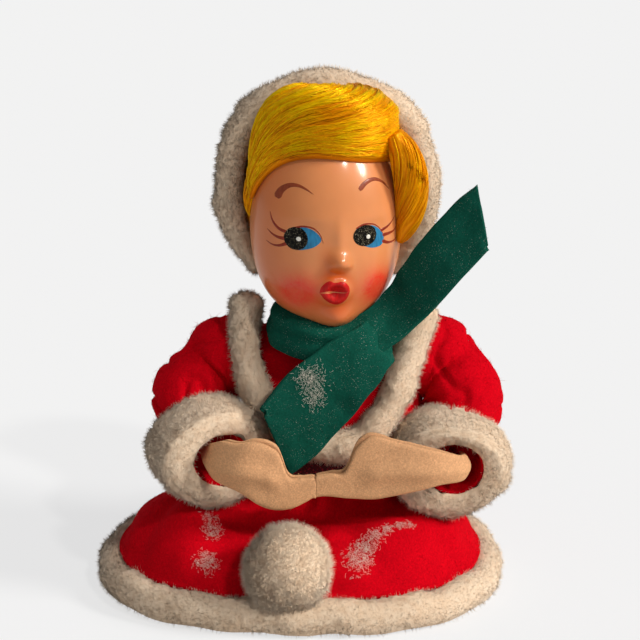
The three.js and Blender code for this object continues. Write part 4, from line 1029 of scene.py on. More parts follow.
def opening_turns(height):
    """Turns round the body, in the front half, where the edging runs at a height."""
    line = trim_line()
    low = np.argmin(line[:, 2])
    left = np.interp(height, line[low::-1, 2], line[low::-1, 0])
    right = np.interp(height, line[low:, 2], line[low:, 0])
    half = stations(height, TORSO_HEIGHTS, TORSO_HALVES) + CLEARANCE + FELT

    def turn(across):
        share = np.clip(across / half, -0.999, 0.999)
        return -np.arccos(signed_power(share, TORSO_SQUARENESS / 2)) / TAU

    return turn(left), turn(right)


def jacket_layers(from_turn, to_turn, rows, columns, seed):
    """Outer and inner face of a piece of the jacket between two turns, with soft creases."""
    height = np.linspace(JACKET_HEM - TUCKED_HEM, JACKET_COLLAR + TUCKED_COLLAR, rows)[:, None]
    share = np.linspace(0, 1, columns)[None]
    turn = mix(from_turn[:, None], to_turn[:, None], share)
    height = height + 0 * turn
    flare = 2.3 * (1 - smoothstep(height, 31, 40)) * smoothstep(np.cos(TAU * turn), 0.3, 0.9)
    outer = torso_point(height, turn, CLEARANCE + FELT)
    inner = torso_point(height, turn, CLEARANCE)
    crease = 0.35 * noise(outer, 6, seed) + 0.12 * noise(outer, 2.4, seed + 2)
    crease = crease * smoothstep(height, JACKET_HEM, JACKET_HEM + 3)
    crease = crease * (1 - smoothstep(height, JACKET_COLLAR - 3, JACKET_COLLAR))
    outward = unit(outer - inner)
    move = outward * (crease + flare)[..., None]
    return outer + move, inner + move, outward


def stack_place(route, line, rows):
    """The number of the station, with its share to the next, at equal steps of the line."""
    run = length_along(line)
    count = np.linspace(0, len(route) - 1, len(line))
    return np.interp(np.linspace(0, run[-1], rows), run, count)


def scarf_layers(columns=28, rows=420):
    """The strip's middle line, with its width shared out across it. Where it is gathered it
    folds along its length into waves, and round the neck its upper edge rolls in."""
    route = np.array(SCARF_ROUTE, float)
    line = through(route[:, :3])
    last = len(route) - 1
    t = np.linspace(0, last, len(line))
    k = np.minimum(t.astype(int), last - 1)
    share = smoothstep(t - k, 0, 1)[:, None]
    wide = unit(route[:, 3:6])
    wide = unit(mix(wide[k], wide[k + 1], share))
    held = mix(route[k, 6:7], route[k + 1, 6:7], share)
    stack = at_share(np.hstack([line, wide, held]), np.linspace(0, 1, rows))
    middle = stack[:, :3] + [0, 0, SCARF_HEIGHT]
    wide, held = unit(stack[:, 3:6]), stack[:, 6:7]
    along = unit(np.gradient(middle, axis=0))
    normal = unit(np.cross(along, wide))
    v = np.linspace(-1, 1, columns)[None, :, None]
    spread = wide[:, None] * v * (SCARF_HALF_WIDTH * held)[:, None]
    flat = middle[:, None] + spread
    gather = (1 - smoothstep(held, 0.45, 0.8))[:, None]
    drift = 1.2 * np.sin(0.02 * np.arange(rows))[:, None, None]
    pleat = 0.3 * gather * np.cos(TAU * 0.9 * v + drift)
    ripple = 0.5 * noise(flat, 7, 41)[..., None] + 0.2 * noise(flat, 2.6, 43)[..., None]
    lay = flat + normal[:, None] * (pleat + ripple * (0.6 + 0.4 * (1 - gather)))
    place = stack_place(route, line, rows)
    rolled = smoothstep(place, 4.4, 5.4) * (1 - smoothstep(place, 12.2, 13.2))
    upper = smoothstep(v * np.sign(wide[:, 2])[:, None, None], 0.1, 1) ** 1.5
    rolled = rolled[:, None, None] * upper
    inward = unit((np.array([0, NECK_Y, 0]) - lay) * [1, 1, 0])
    lay = lay + rolled * (2.6 * inward - [0, 0, 0.5])
    across = np.gradient(lay, axis=1)
    facing = unit(np.cross(np.gradient(lay, axis=0), across))
    thick = SCARF_FELT / 2
    return lay + facing * thick, lay - facing * thick, facing


# Head and face


def head_frame(across, ahead, up):
    """From across, ahead and up, in the head's own directions, to the doll's frame."""
    c, s = np.cos(HEAD_YAW), np.sin(HEAD_YAW)
    return xyz(HEAD_X + across * c + ahead * s, HEAD_Y + across * s - ahead * c, HEAD_MIDDLE + up)


def swelling(across, up, x, z, wide, high, rise):
    return rise * bell((across - x) / wide) * bell((up - z) / high)


# Each is its middle across and up, its half widths across and up, and how far it stands out
MIDDLE_SWELLINGS = [
    (0, -4.4, 1.85, 1.8, 1.9),
    (0, 0.2, 1.3, 3.2, 0.35),
    (0, -16.4, 3.4, 2.6, 1.9),
    (-0.3, -9.8, 4.2, 3, 0.6),
    (0, -6.9, 1.1, 1.0, -0.28),
]
SIDE_SWELLINGS = [
    (1.7, -5.0, 0.8, 0.8, 0.45),
    (7.6, -8.4, 3.8, 3.6, 0.75),
    (6.2, 0.6, 3.1, 2.5, -0.75),
    (6.2, 0.1, 1.9, 1.7, 0.55),
    (6.2, 3.6, 3.4, 1.0, 0.16),
]
BLUSH = [(-7.3, -10.6, 3.4, 3.4, 1.5), (8.0, -10.2, 3.4, 3.5, 1.5), (-0.4, -15.4, 4.2, 1.8, 0.12)]
# Painted shade on the face: spots under and beside the nose and below the mouth, each as its middle across
# and up, its half widths and its strength
SHADE_SPOTS = [(-0.9, -6.6, 2.4, 1.9, 0.75), (-2.2, -3.6, 1.6, 2.4, 0.4), (-0.3, -14.2, 5.2, 2.2, 0.35)]


def face_relief(across, up):
    """Sum of bell-shaped swellings and hollows: nose, cheeks, chin, eyes and an open mouth."""
    rise = 0.0
    for place in MIDDLE_SWELLINGS:
        rise = rise + swelling(across, up, *place)
    for side in (-1, 1):
        for x, *rest in SIDE_SWELLINGS:
            rise = rise + swelling(across, up, side * x, *rest)
    reach = np.hypot((across - MOUTH_ACROSS) / 3.0, (up - MOUTH_UP) / 2.75)
    bows = np.abs(across - MOUTH_ACROSS) - 1.3
    peaks = 1 + 0.3 * bell(bows / 0.8) * smoothstep(up, -10, -8.5)
    return rise + 0.75 * peaks * bell((reach - 0.68) / 0.34) - 0.5 * bell(reach / 0.36)


def head_taper(latitude):
    """How wide the head is at a latitude: a share of its middle, fuller below the eyes."""
    return np.maximum(0, np.cos(latitude)) ** np.where(latitude > 0, 0.94, 0.64)


def head_point(azimuth, latitude, grow=0.0, relief=True):
    """An egg: wider above than below, with the relief pushed forward on the face."""
    flat = head_taper(latitude)
    forward = np.where(np.cos(azimuth) > 0, HEAD_FRONT, HEAD_BACK)
    chin = CHIN_DROP * bell(azimuth / CHIN_SPREAD) if relief else 0
    tall = np.where(latitude > 0, HEAD_RISE, HEAD_DROP + chin)
    across = (HEAD_HALF_WIDTH + grow) * np.sin(azimuth) * flat
    up = (tall + grow) * np.sin(latitude)
    ahead = (forward + grow) * np.cos(azimuth) * flat
    if relief:
        ahead = ahead + face_relief(across, up) * smoothstep(np.cos(azimuth) * flat, 0.1, 0.55)
    return head_frame(across, ahead, up)


def skin_at(across, up, lift):
    """The place on the face that is across and up from the head's middle, lifted off it."""
    azimuth = np.zeros_like(across)
    for _ in range(6):
        chin = CHIN_DROP * bell(azimuth / CHIN_SPREAD)
        latitude = np.arcsin(np.clip(up / np.where(up > 0, HEAD_RISE, HEAD_DROP + chin), -1, 1))
        flat = head_taper(latitude)
        azimuth = np.arcsin(np.clip(across / (HEAD_HALF_WIDTH * flat), -0.98, 0.98))
    return head_point(azimuth, latitude, lift)


def head_form():
    """Outer skin from the crown to the neck seat, the seat's ring, and the inner skin back up."""
    t = np.linspace(-1, 1, 400, endpoint=False)
    azimuth = (np.pi * signed_power(t, 1.45))[None]
    low = np.arcsin((HEAD_SEAT - HEAD_MIDDLE) / HEAD_DROP)
    latitude = np.linspace(np.radians(89.5), low, 190)[:, None]
    outer = head_point(azimuth, latitude)
    reach = np.hypot(outer[..., 0], outer[..., 1] - NECK_Y)
    under = HEAD_SEAT - 2.8 * smoothstep(reach, 8.2, 10.5)
    outer[..., 2] = np.maximum(outer[..., 2], under)
    outer[-1, :, 2] = HEAD_SEAT
    turn = np.arctan2(outer[-1, :, 1] - NECK_Y, outer[-1, :, 0])
    hole = xyz(POST_HOLE * np.cos(turn), NECK_Y + POST_HOLE * np.sin(turn), HEAD_SEAT)[None]
    inner_latitude = np.linspace(low + 0.12, np.radians(89), 14)[:, None]
    inner = head_point(azimuth, inner_latitude, -HEAD_WALL, False)
    points = np.concatenate([outer, hole, hole + [0, 0, HEAD_WALL], inner])
    c, s = np.cos(HEAD_YAW), np.sin(HEAD_YAW)
    x, y = points[..., 0] - HEAD_X, points[..., 1] - HEAD_Y
    across, ahead, up = x * c + y * s, x * s - y * c, points[..., 2] - HEAD_MIDDLE
    front = smoothstep(ahead, -1, 3)
    blush = sum(swelling(across, up, *place) for place in BLUSH)
    # Painted shade: brown-orange spots under and beside the nose and below the mouth, a ring round the mouth,
    # and a darker left side and lower face, where the light falls least
    warm = sum(swelling(across, up, *place) for place in SHADE_SPOTS)
    warm = warm + 0.45 * smoothstep(-across, 5, 14) + 0.25 * smoothstep(-up, 6, 17)
    warm = warm + 0.4 * bell((np.hypot(across - MOUTH_ACROSS, (up - MOUTH_UP) * 1.05) - 3.6) / 1.1)
    return tube_form(points, blush=np.clip(blush * front, 0, 1), warm=np.clip(warm * front, 0, 1))


HEAD_CENTRE = np.array([HEAD_X, HEAD_Y, HEAD_MIDDLE - 4])
PAINT = 0.05

LASHES = {
    "lash_left_top": ([(-9.3, 1.0), (-10.6, 1.45), (-11.4, 2.2), (-11.9, 3.25), (-12.1, 4.5)], 0.36),
    "lash_left_middle": ([(-9.4, -0.2), (-10.9, -0.1), (-11.9, 0.4), (-12.65, 1.15)], 0.42),
    "lash_left_low": ([(-9.3, -1.0), (-10.9, -1.7), (-11.95, -1.65), (-12.8, -1.15)], 0.38),
    "lash_right_top": ([(8.2, 0.8), (9.8, 1.35), (11.0, 2.2), (11.7, 3.0)], 0.34),
    "lash_right_middle": ([(8.7, -0.1), (10.2, 0.0), (11.5, 0.3), (12.3, 1.15)], 0.4),
    "lash_right_low": ([(8.6, -1.15), (10.1, -1.75), (11.5, -1.7), (12.4, -1.1)], 0.38),
    "lid_left": ([(-8.3, 1.95), (-6.7, 2.32), (-4.9, 2.05), (-3.75, 1.0), (-3.1, -0.7)], 0.24),
    "lid_right": ([(3.1, 1.85), (4.9, 2.5), (7.0, 2.15), (8.4, 0.9), (9.1, -0.55)], 0.22),
}
BROWS = {
    "brow_left": [(-10.95, 7.2), (-10.1, 8.75), (-8.7, 9.7), (-7.3, 9.75), (-6.0, 9.2), (-4.7, 8.3)],
    "brow_right": [(3.9, 8.9), (5.4, 10.1), (7.1, 10.5), (8.9, 9.8), (10.5, 8.2)],
}
EYES = {
    "left": {
        "outline": [
            (-9.95, -0.2), (-9.5, 1.3), (-7.9, 2.15), (-6.1, 2.2), (-4.5, 1.5), (-3.35, -0.1),
            (-4.5, -1.4), (-6.1, -2.0), (-7.9, -2.2), (-9.4, -1.45),
        ],
        "pupil": (-7.88, 0.0, 2.1, 2.16),
        "glint": (-7.45, -0.05),
    },
    "right": {
        "outline": [
            (2.5, 0.45), (3.2, 1.9), (4.9, 2.3), (7.0, 1.95), (8.5, 0.7), (9.1, -0.75), (8.6, -1.9),
            (6.7, -2.25), (4.9, -1.75), (3.2, -1.0),
        ],
        "pupil": (4.95, 0.35, 2.45, 1.98),
        "glint": (5.55, 0.1),
    },
}
UPPER_LIP_TOP = [
    (-3.75, -10.24), (-3.58, -9.25), (-2.79, -8.21), (-1.95, -7.77), (-0.85, -8.12), (0.12, -7.9),
    (1.04, -8.21), (1.75, -9.16), (1.92, -10.06),
]
UPPER_LIP_LOW = [
    (-3.71, -10.33), (-2.92, -10.02), (-2.04, -9.97), (-1.25, -10.2), (0.07, -10.38),
    (1.92, -10.15),
]
LOWER_LIP_TOP = [
    (-3.67, -10.38), (-2.65, -10.33), (-1.86, -10.42), (-1.25, -10.38), (0.07, -10.38),
    (1.83, -10.15),
]
LOWER_LIP_LOW = [
    (-3.67, -10.42), (-2.92, -11.5), (-1.77, -12.4), (-0.45, -12.85), (0.73, -12.49), (1.57, -11.5),
    (1.92, -10.15),
]


def flat_line(points, count):
    """A smooth line through places across and up, at equal steps."""
    spots = np.array([(x, z, 0) for x, z in points], float)
    return at_share(through(spots), np.linspace(0, 1, count))[:, :2]


def stroke(points, half, blunt=0.2, lift=PAINT):
    """A brush stroke on the face: full near its start, narrowing to its end, raised along its
    middle and let into the skin at both edges."""
    line = flat_line(points, 44)
    along = unit(np.gradient(line, axis=0))
    side = np.stack([-along[:, 1], along[:, 0]], -1)
    t = np.linspace(0, 1, len(line))
    width = half * np.minimum(1, (t / blunt + 0.3) ** 0.5) * (1 - t) ** 0.8 + 0.015
    v = np.linspace(-1, 1, 7)[None, :, None]
    spot = line[:, None] + side[:, None] * v * width[:, None, None]
    return patch_form(skin_at(spot[..., 0], spot[..., 1], lift - 0.06 * v[..., 0] ** 4), HEAD_CENTRE)


def pool(outline, middle, lift):
    """A spot of paint: rings from its middle to a closed outline, let in at the edge."""
    closed = outline + outline[:1]
    edge = flat_line(closed, 73)[:-1]
    share = np.linspace(0.02, 1, 14)[:, None, None]
    spot = np.array(middle) + (edge[None] - np.array(middle)) * share
    spot = np.concatenate([spot, spot[:, :1]], axis=1)
    height = lift - 0.06 * share[..., 0] ** 8
    return patch_form(skin_at(spot[..., 0], spot[..., 1], height), HEAD_CENTRE)


def oval(x, z, wide, high):
    angle = TAU * np.arange(12) / 12
    return [(x + wide * np.cos(a), z + high * np.sin(a)) for a in angle]


def band(top, low, lift):
    """Paint between two lines, such as a lip."""
    upper, lower = flat_line(top, 50), flat_line(low, 50)
    v = np.linspace(0, 1, 11)[None, :, None]
    spot = mix(upper[:, None], lower[:, None], v)
    height = lift - 0.06 * np.abs(2 * v[..., 0] - 1) ** 6
    return patch_form(skin_at(spot[..., 0], spot[..., 1], height), HEAD_CENTRE)


# Hair


def fringe_surface(side, rise, outside=True, grow=0.0):
    """side runs from the left temple, -1, to the right, 1, and rise from the edge, 0, back over
    the crown, 1. The outside is a rounded box that closes to the skin along its rim."""
    edge_up = stations(side, FRINGE_EDGE_SIDES, FRINGE_EDGE_RISES)
    azimuth = FRINGE_HALF_ANGLE * side
    latitude = mix(np.arcsin(edge_up / HEAD_RISE), FRINGE_BACK_LATITUDE, rise)
    skin = head_point(azimuth, latitude, CLEARANCE + (0.9 + grow if outside else 0), False)
    if not outside:
        return skin
    power = 2 / FRINGE_SQUARENESS
    flat = np.cos(latitude) ** power
    outer = head_frame(
        (FRINGE_HALF_WIDTH + grow) * np.sin(azimuth) * flat,
        (FRINGE_AHEAD + grow) * np.cos(azimuth) * flat,
        (FRINGE_RISE + grow) * np.maximum(0, np.sin(latitude)) ** power,
    )
    full = np.maximum(0, 1 - (1 - np.minimum(1, np.maximum(rise, 0) / 0.34)) ** 2) ** 0.72
    full = full * np.sqrt(np.maximum(0, 1 - np.abs(side) ** np.where(side > 0, 5, 9)))
    return mix(skin, outer, full[..., None])


COMB_SIDES = np.linspace(-1, 1, 201)
COMB_SLOPES = 1.5 + 2.2 * smoothstep(-COMB_SIDES, 0.25, 1)
COMB_RISE = np.concatenate([[0], np.cumsum((COMB_SLOPES[1:] + COMB_SLOPES[:-1]) / 200)])
COMB_RISE = COMB_RISE - COMB_RISE[100]


def comb_level(side, rise):
    """Which combed line passes here: rise divided by its growth from the middle to this side."""
    return rise * np.exp(-np.interp(side, COMB_SIDES, COMB_RISE))


def comb_rise(side, level):
    return level * np.exp(np.interp(side, COMB_SIDES, COMB_RISE))


def ridges(value, seed):
    """Grooves of combed hair across a number: three waves of rising count with drifting phase."""
    spot = np.stack([value * 9, value * 0 + seed, value * 0], -1)
    drift = noise(spot, 1, seed)
    wave = np.sin(TAU * (26 * value + 0.8 * drift)) + 0.7 * np.sin(TAU * (61 * value + 1.3 * drift))
    return (wave + 0.5 * np.sin(TAU * (117 * value + 2 * drift))) / 2.2


def locks(level, side):
    """Broad strands along the combed lines, which swell and sink slowly along their length."""
    spot = np.stack(np.broadcast_arrays(9 * level, 1.1 * side, 0 * side), -1)
    return noise(spot, 0.42, 23) + 0.5 * noise(spot, 0.17, 24)


def fringe_form(seed=5):
    side = np.linspace(-1, 1, 200)[:, None] + np.zeros((1, 110))
    rise = np.linspace(0, 1, 110)[None] + np.zeros((200, 1))
    outer = fringe_surface(side, rise)
    inner = fringe_surface(side, rise, False)
    level = comb_level(side, rise)
    groove = ridges(level, seed)
    full = np.sqrt(np.maximum(0, 1 - side**4)) * smoothstep(rise, 0, 0.1)
    normal = unit(np.cross(np.gradient(outer, axis=0), np.gradient(outer, axis=1)))
    if np.sum(normal * (outer - HEAD_CENTRE)) < 0:
        normal = -normal
    waves = locks(level, side)
    outer = outer + normal * ((0.16 * groove + 0.45 * waves) * full - 0.3)[..., None]
    # Painted shade in the grooves and at the lower edge, painted light on the swelling locks and toward the
    # crown
    tint = 0.3 + 0.2 * groove + 0.2 * waves + 0.1 * smoothstep(rise, 0, 0.1)
    tint = tint + 0.22 * smoothstep(rise, 0.1, 0.4)
    return sheet_form(outer, inner, tint=np.clip(tint, 0, 1))


def fringe_threads(count, seed=6):
    """Threads along the combed lines: each covers a stretch of one line about its own middle,
    floats a little above the mass and dips into it at both ends."""
    rng = np.random.default_rng(seed)
    steps = 10
    middle = rng.uniform(-0.97, 0.97, count)
    rise = rng.uniform(0.01, 0.99, count) ** 1.35
    level = comb_level(middle, rise)
    top = np.interp(np.log(0.985 / level), COMB_RISE, COMB_SIDES)
    reach = rng.uniform(0.16, 0.5, count)
    start = np.maximum(-0.985, middle - reach)
    end = np.minimum(np.minimum(0.985, middle + reach), np.maximum(top, start + 0.02))
    t = np.linspace(0, 1, steps)[None]
    side = mix(start[:, None], end[:, None], t)
    sway = rng.normal(0, 0.008, (count, 1)) * np.sin(np.pi * t + rng.uniform(0, TAU, (count, 1)))
    tall = np.clip(comb_rise(side, level[:, None]) * (1 + sway * 2) + sway, 0.004, 0.995)
    rim = rng.random(count) < 0.2
    tall[rim] = rng.uniform(0.002, 0.09, (rim.sum(), 1)) * (0.6 + 0.7 * t)
    lift = 0.16 + 0.2 * rng.random((count, 1)) ** 2
    grow = lift * np.sin(np.pi * t) - 0.28 * (1 - np.sin(np.pi * t)) - 0.06
    paths = fringe_surface(side, tall, True, grow)
    groove = ridges(level, 5)
    waves = locks(level[:, None], side)
    paths = paths + unit(paths - HEAD_CENTRE) * (0.45 * waves * np.sqrt(1 - side**4))[..., None]
    # Painted shade in the grooves and on threads near the lower edge, painted light on the swelling locks,
    # with random tone
    tint = 0.72 + 0.1 * groove + rng.normal(0, 0.12, count)
    tint = tint - 0.2 * (1 - smoothstep(rise, 0.02, 0.16)) * ~rim
    return threads(paths, rng.uniform(0.035, 0.09, count), tint[:, None] + 0.26 * waves)


def lock_threads(lock, count, seed):
    """A lock's mass is a tube narrowing to its tip; its threads wind slowly round the tube."""
    rng = np.random.default_rng(seed)
    line = through(lock["line"])
    away = unit(line[len(line) // 2] - HEAD_CENTRE)

    def skin(s, turn, grow):
        middle = at_share(line, s.ravel()).reshape(*s.shape, 3)
        first, second = square_to(heading(line, s, 60), away)
        taper = np.sqrt(np.maximum(0.02, np.sin(np.pi * (0.12 + 0.87 * s))))
        radius = (lock["radius"] * taper + grow)[..., None]
        return middle + radius * (first * np.cos(turn)[..., None] + second * np.sin(turn)[..., None])

    s, turn = np.meshgrid(np.linspace(0, 1, 60), TAU * np.arange(48) / 48, indexing="ij")
    groove = ridges((turn - 2.2 * s) / TAU * 0.35, seed)
    # Painted shade: the mass is darker than its threads, and darker again in the grooves
    mass = tube_form(skin(s, turn, 0.12 * groove - 0.15), tint=np.clip(0.4 + 0.2 * groove, 0, 1))
    t = np.linspace(0, 1, 12)[None]
    start = rng.uniform(0, 0.55, (count, 1))
    stretch = mix(start, np.minimum(1, start + rng.uniform(0.3, 0.6, (count, 1))), t)
    twist = rng.uniform(0, TAU, (count, 1)) + 2.2 * stretch
    grow = 0.18 * np.sin(np.pi * t) * rng.random((count, 1)) - 0.05
    paths = skin(stretch, twist, grow)
    tint = np.clip(rng.normal(0.55, 0.16, count), 0, 1)
    strands = threads(paths, rng.uniform(0.045, 0.1, count), tint[:, None] + 0 * t)
    return joined(mass, strands)


def cap_form():
    """Hair over the back of the head, from the crown line to the nape."""
    latitude = np.radians(np.linspace(-33, 84, 70))[None] + np.zeros((120, 1))
    spread = mix(66, 96, smoothstep(latitude, 0.1, 0.8))
    azimuth = np.pi + np.radians(spread * np.linspace(-1, 1, 120)[:, None])
    groove = ridges(azimuth / TAU * 1.3 + 0.02 * np.sin(3 * latitude), 17)
    outer = head_point(azimuth, latitude, 1.75, False)
    outward = unit(outer - HEAD_CENTRE)
    outer = outer + outward * (0.14 * groove)[..., None]
    inner = head_point(azimuth, latitude, CLEARANCE, False)
    # Painted shade in the grooves
    return sheet_form(outer, inner, tint=np.clip(0.42 + 0.2 * groove, 0, 1))


# Hood


def low_squareness(depth):
    return mix(HOOD_MOUTH_SQUARENESS, HOOD_SQUARENESS, smoothstep(depth, 0, 0.3))


def hood_point(angle, depth, grow=0.0):
    """Sections that shrink to the back, squarer below the middle, on a face that tilts back."""
    shrink = (1 - np.clip(depth, 0, 1) ** 2.6) ** (1 / 2.2)
    s, c = np.sin(angle), np.cos(angle)
    tall = np.where(c > 0, HOOD_RISE, HOOD_DROP)
    wide = 2 / np.where(c > 0, HOOD_TOP_SQUARENESS, low_squareness(depth))
    x = (HOOD_HALF_WIDTH + grow) * shrink * np.sign(s) * np.abs(s) ** wide
    up = (tall + grow) * shrink * np.sign(c) * np.abs(c) ** wide
    y = HOOD_FACE_Y - HOOD_TILT * (up - HOOD_RISE) + (HOOD_DEPTH + grow) * depth
    y = y - HOOD_TILT * (HOOD_RISE - up) * depth
    return xyz(HEAD_X + x, y, HOOD_MIDDLE + up)


def hood_layers():
    depth = np.sin(np.linspace(0, np.pi / 2, 80))[:, None] ** 1.15 * 0.99999
    shrink = (1 - depth**2.6) ** (1 / 2.2)
    low = (HOOD_MIDDLE - HOOD_HEM) / HOOD_DROP
    share = np.minimum(1, low / np.maximum(shrink, 1e-6))
    last = np.arccos(-(share ** (low_squareness(depth) / 2)))
    angle = last * np.linspace(-1, 1, 140)[None]
    depth = depth + 0 * angle
    outer = hood_point(angle, depth)
    inner = hood_point(angle, depth, -FELT)
    outward = unit(outer - inner)
    nape = smoothstep(-np.cos(angle), -0.2, 0.9) * smoothstep(depth, 0.25, 0.8)
    pleat = 0.5 * np.cos(16 * angle) * nape
    soft = 0.4 * noise(outer, 9, 61) + 0.15 * noise(outer, 3.5, 63)
    seam = -0.35 * bell(np.sin(angle) * (shrink + 0.1) * HOOD_HALF_WIDTH / 0.7) * (np.cos(angle) > 0)
    calm = smoothstep(depth, 0.03, 0.2) * (1 - smoothstep(depth, 0.97, 1))
    move = ((pleat + soft) * calm + seam * smoothstep(depth, 0.05, 0.12))[..., None] * outward
    return outer + move, inner + move, outward


def swept_grid(middle, radius, reference, columns):
    """A circle of the given radius, rows by columns, carried along a line and kept square to it."""
    along = unit(np.gradient(middle, axis=0))
    ring = circle(along, reference, TAU * np.arange(columns) / columns)
    return middle[:, None] + ring * radius[..., None]


def ring_grid(rows=300, columns=44):
    """The fleece roll's line is the hood's face edge, set in a little and open under the chin."""
    angle = np.linspace(RING_OPEN_ANGLE - np.pi, np.pi - RING_OPEN_ANGLE, 241)
    line = hood_point(angle, np.zeros_like(angle), -RING_INSET)
    s = np.linspace(0, 1, rows)
    middle = at_share(line, s)
    end = np.minimum(s, 1 - s)
    thin = mix(RING_END_RADIUS, RING_RADIUS, smoothstep(end, 0, 0.16))
    near = np.minimum(1, end / 0.02)
    thin = thin * np.maximum(0.3, np.sqrt(1 - (1 - near) ** 2)) * (1 - 0.15 * bell((s - 0.22) / 0.14))
    turn = TAU * np.arange(columns) / columns
    lump = 0.14 * np.sin(38 * s[:, None] + 2 * np.sin(turn)[None])
    radius = thin[:, None] + lump + 0.22 * noise(middle, 5, 71)[:, None]
    return swept_grid(middle, radius, np.array([0, 1, HOOD_TILT]), columns)


def trim_grid(rows=260, columns=36):
    line = trim_line()
    s = np.linspace(0, 1, rows)
    middle = at_share(line, s)
    near = np.minimum(1, np.minimum(s, 1 - s) / 0.035)
    radius = TRIM_RADIUS * np.maximum(0.25, np.sqrt(1 - (1 - near) ** 2))
    fuller = 1.14 - 0.14 * smoothstep(s, 0, 0.14) + 0.03 * np.sin(60 * s)
    radius = radius * fuller + 0.15 * noise(middle, 4, 75)
    radius = radius[:, None] + np.zeros((1, columns))
    return swept_grid(middle, radius, np.array([0, 1.0, 0.1]), columns)


# Arms


def shoulder_point(arm):
    return np.array([arm["side"] * SHOULDER_X, 0, SHOULDER_Z])


def cuff_place(arm):
    """The way the cuff points and its middle."""
    return unit(np.array(arm["aim"])), np.array(arm["cuff"])


def sleeve_line(arm):
    shoulder, outward = shoulder_point(arm), np.array([arm["side"], 0, 0.0])
    aim, cuff = cuff_place(arm)
    half = CUFF_LENGTH / 2
    bends = [np.array(arm["upper"]), np.array(arm["elbow"])]
    ends = [cuff - aim * half, cuff + aim * (half - MOUTH_DEPTH), cuff + aim * half]
    return through([shoulder - outward * ROOT_DEPTH, shoulder, shoulder + outward * 2.6, *bends, *ends])


def sleeve_form(arm, seed):
    """Outer skin from the rounded root to the mouth, then the mouth's lining back to its floor.

    The root is a ball about the joint. Creases circle the arm and deepen inside the elbow.
    """
    line, shoulder = sleeve_line(arm), shoulder_point(arm)
    total = length_along(line)[-1]
    root, wrist, mouth = ROOT_DEPTH / total, 1 - CUFF_LENGTH / total, MOUTH_DEPTH / total
    s_out = np.linspace(0, 1, 170)
    s_in = np.linspace(1, 1 - mouth, 16)
    s = np.concatenate([s_out, s_in])
    middle = at_share(line, s)
    turn = TAU * np.arange(90) / 90
    ring = circle(heading(line, s, 80), UP, turn)
    radius = stations(
        s_out,
        [0, root * 1.15, 0.36, 0.56, wrist, 1],
        [SLEEVE_ROOT, SLEEVE_ROOT, SLEEVE_UPPER, SLEEVE_ELBOW, SLEEVE_WRIST, SLEEVE_WRIST],
    )
    inward = np.linalg.norm(at_share(line, s_out) - shoulder, axis=1)
    ball = np.sqrt(np.maximum(1, SLEEVE_ROOT**2 - np.minimum(inward, 8) ** 2))
    radius = np.where(s_out <= root, ball, radius)[:, None] + np.zeros((1, 90))
    calm = smoothstep(s_out, root, root + 0.1) * (1 - smoothstep(s_out, 0.62, wrist))
    spot = middle[:170, None] + ring[:170] * radius[..., None]
    phase = 30 * s_out[:, None] + 2 * np.cos(turn)[None]
    crease = 0.42 * np.sin(phase) + 0.45 * noise(spot, 4.5, seed) + 0.15 * noise(spot, 1.8, seed + 3)
    sharp = np.abs(noise(spot, 6.5, seed + 5))
    crease = crease - 0.8 * bell(sharp / 0.12)
    radius = radius + crease * calm[:, None]
    slope = np.maximum(0, np.cos(turn))[None] * bell((s_out - 0.3) / 0.13)[:, None]
    radius = radius * (1 - (0.13 if arm["side"] < 0 else 0.06) * slope)
    lining = np.linspace(MOUTH_RADIUS, MOUTH_RADIUS - 0.6, 16)[:, None] + np.zeros((1, 90))
    lining[-1] = 1.2
    radius = np.vstack([radius, lining])
    points = middle[:, None] + ring * radius[..., None]
    return tube_form(points), points[:170]


def cuff_grid(arm, rows=90, columns=150):
    """A soft roll round the wrist: a rounded-square profile between the bore and an oval."""
    aim, cuff = cuff_place(arm)
    across = unit(np.cross(UP, aim))
    up = np.cross(aim, across)
    q = (TAU * np.arange(rows) / rows)[:, None]
    v = (TAU * np.arange(columns) / columns)[None]
    half = CUFF_LENGTH / 2
    low, high = -half, half + CUFF_LIP
    s = (low + high) / 2 + (high - low) / 2 * signed_power(np.cos(q), 2 / 2.9) + 0 * v
    k = 0.5 + 0.5 * signed_power(np.sin(q), 2 / 2.9) + 0 * v
    wave = 1 + 0.03 * np.sin(3 * v + arm["side"])
    bore = mix(SLEEVE_WRIST + CLEARANCE, 3.9, smoothstep(s, half + 0.1, half + 0.7))
    x = mix(bore, CUFF_HALF_WIDTH * wave, k) * np.cos(v)
    z = mix(bore, CUFF_HALF_HEIGHT * wave, k) * np.sin(v)
    points = cuff + aim * s[..., None] + across * x[..., None] + up * z[..., None]
    points = points + np.array(arm["sag"]) * smoothstep(k, 0.3, 1)[..., None]
    return points.transpose(1, 0, 2), (k + 0.35).T.clip(0, 1) * smoothstep(k.T, 0.02, 0.3)


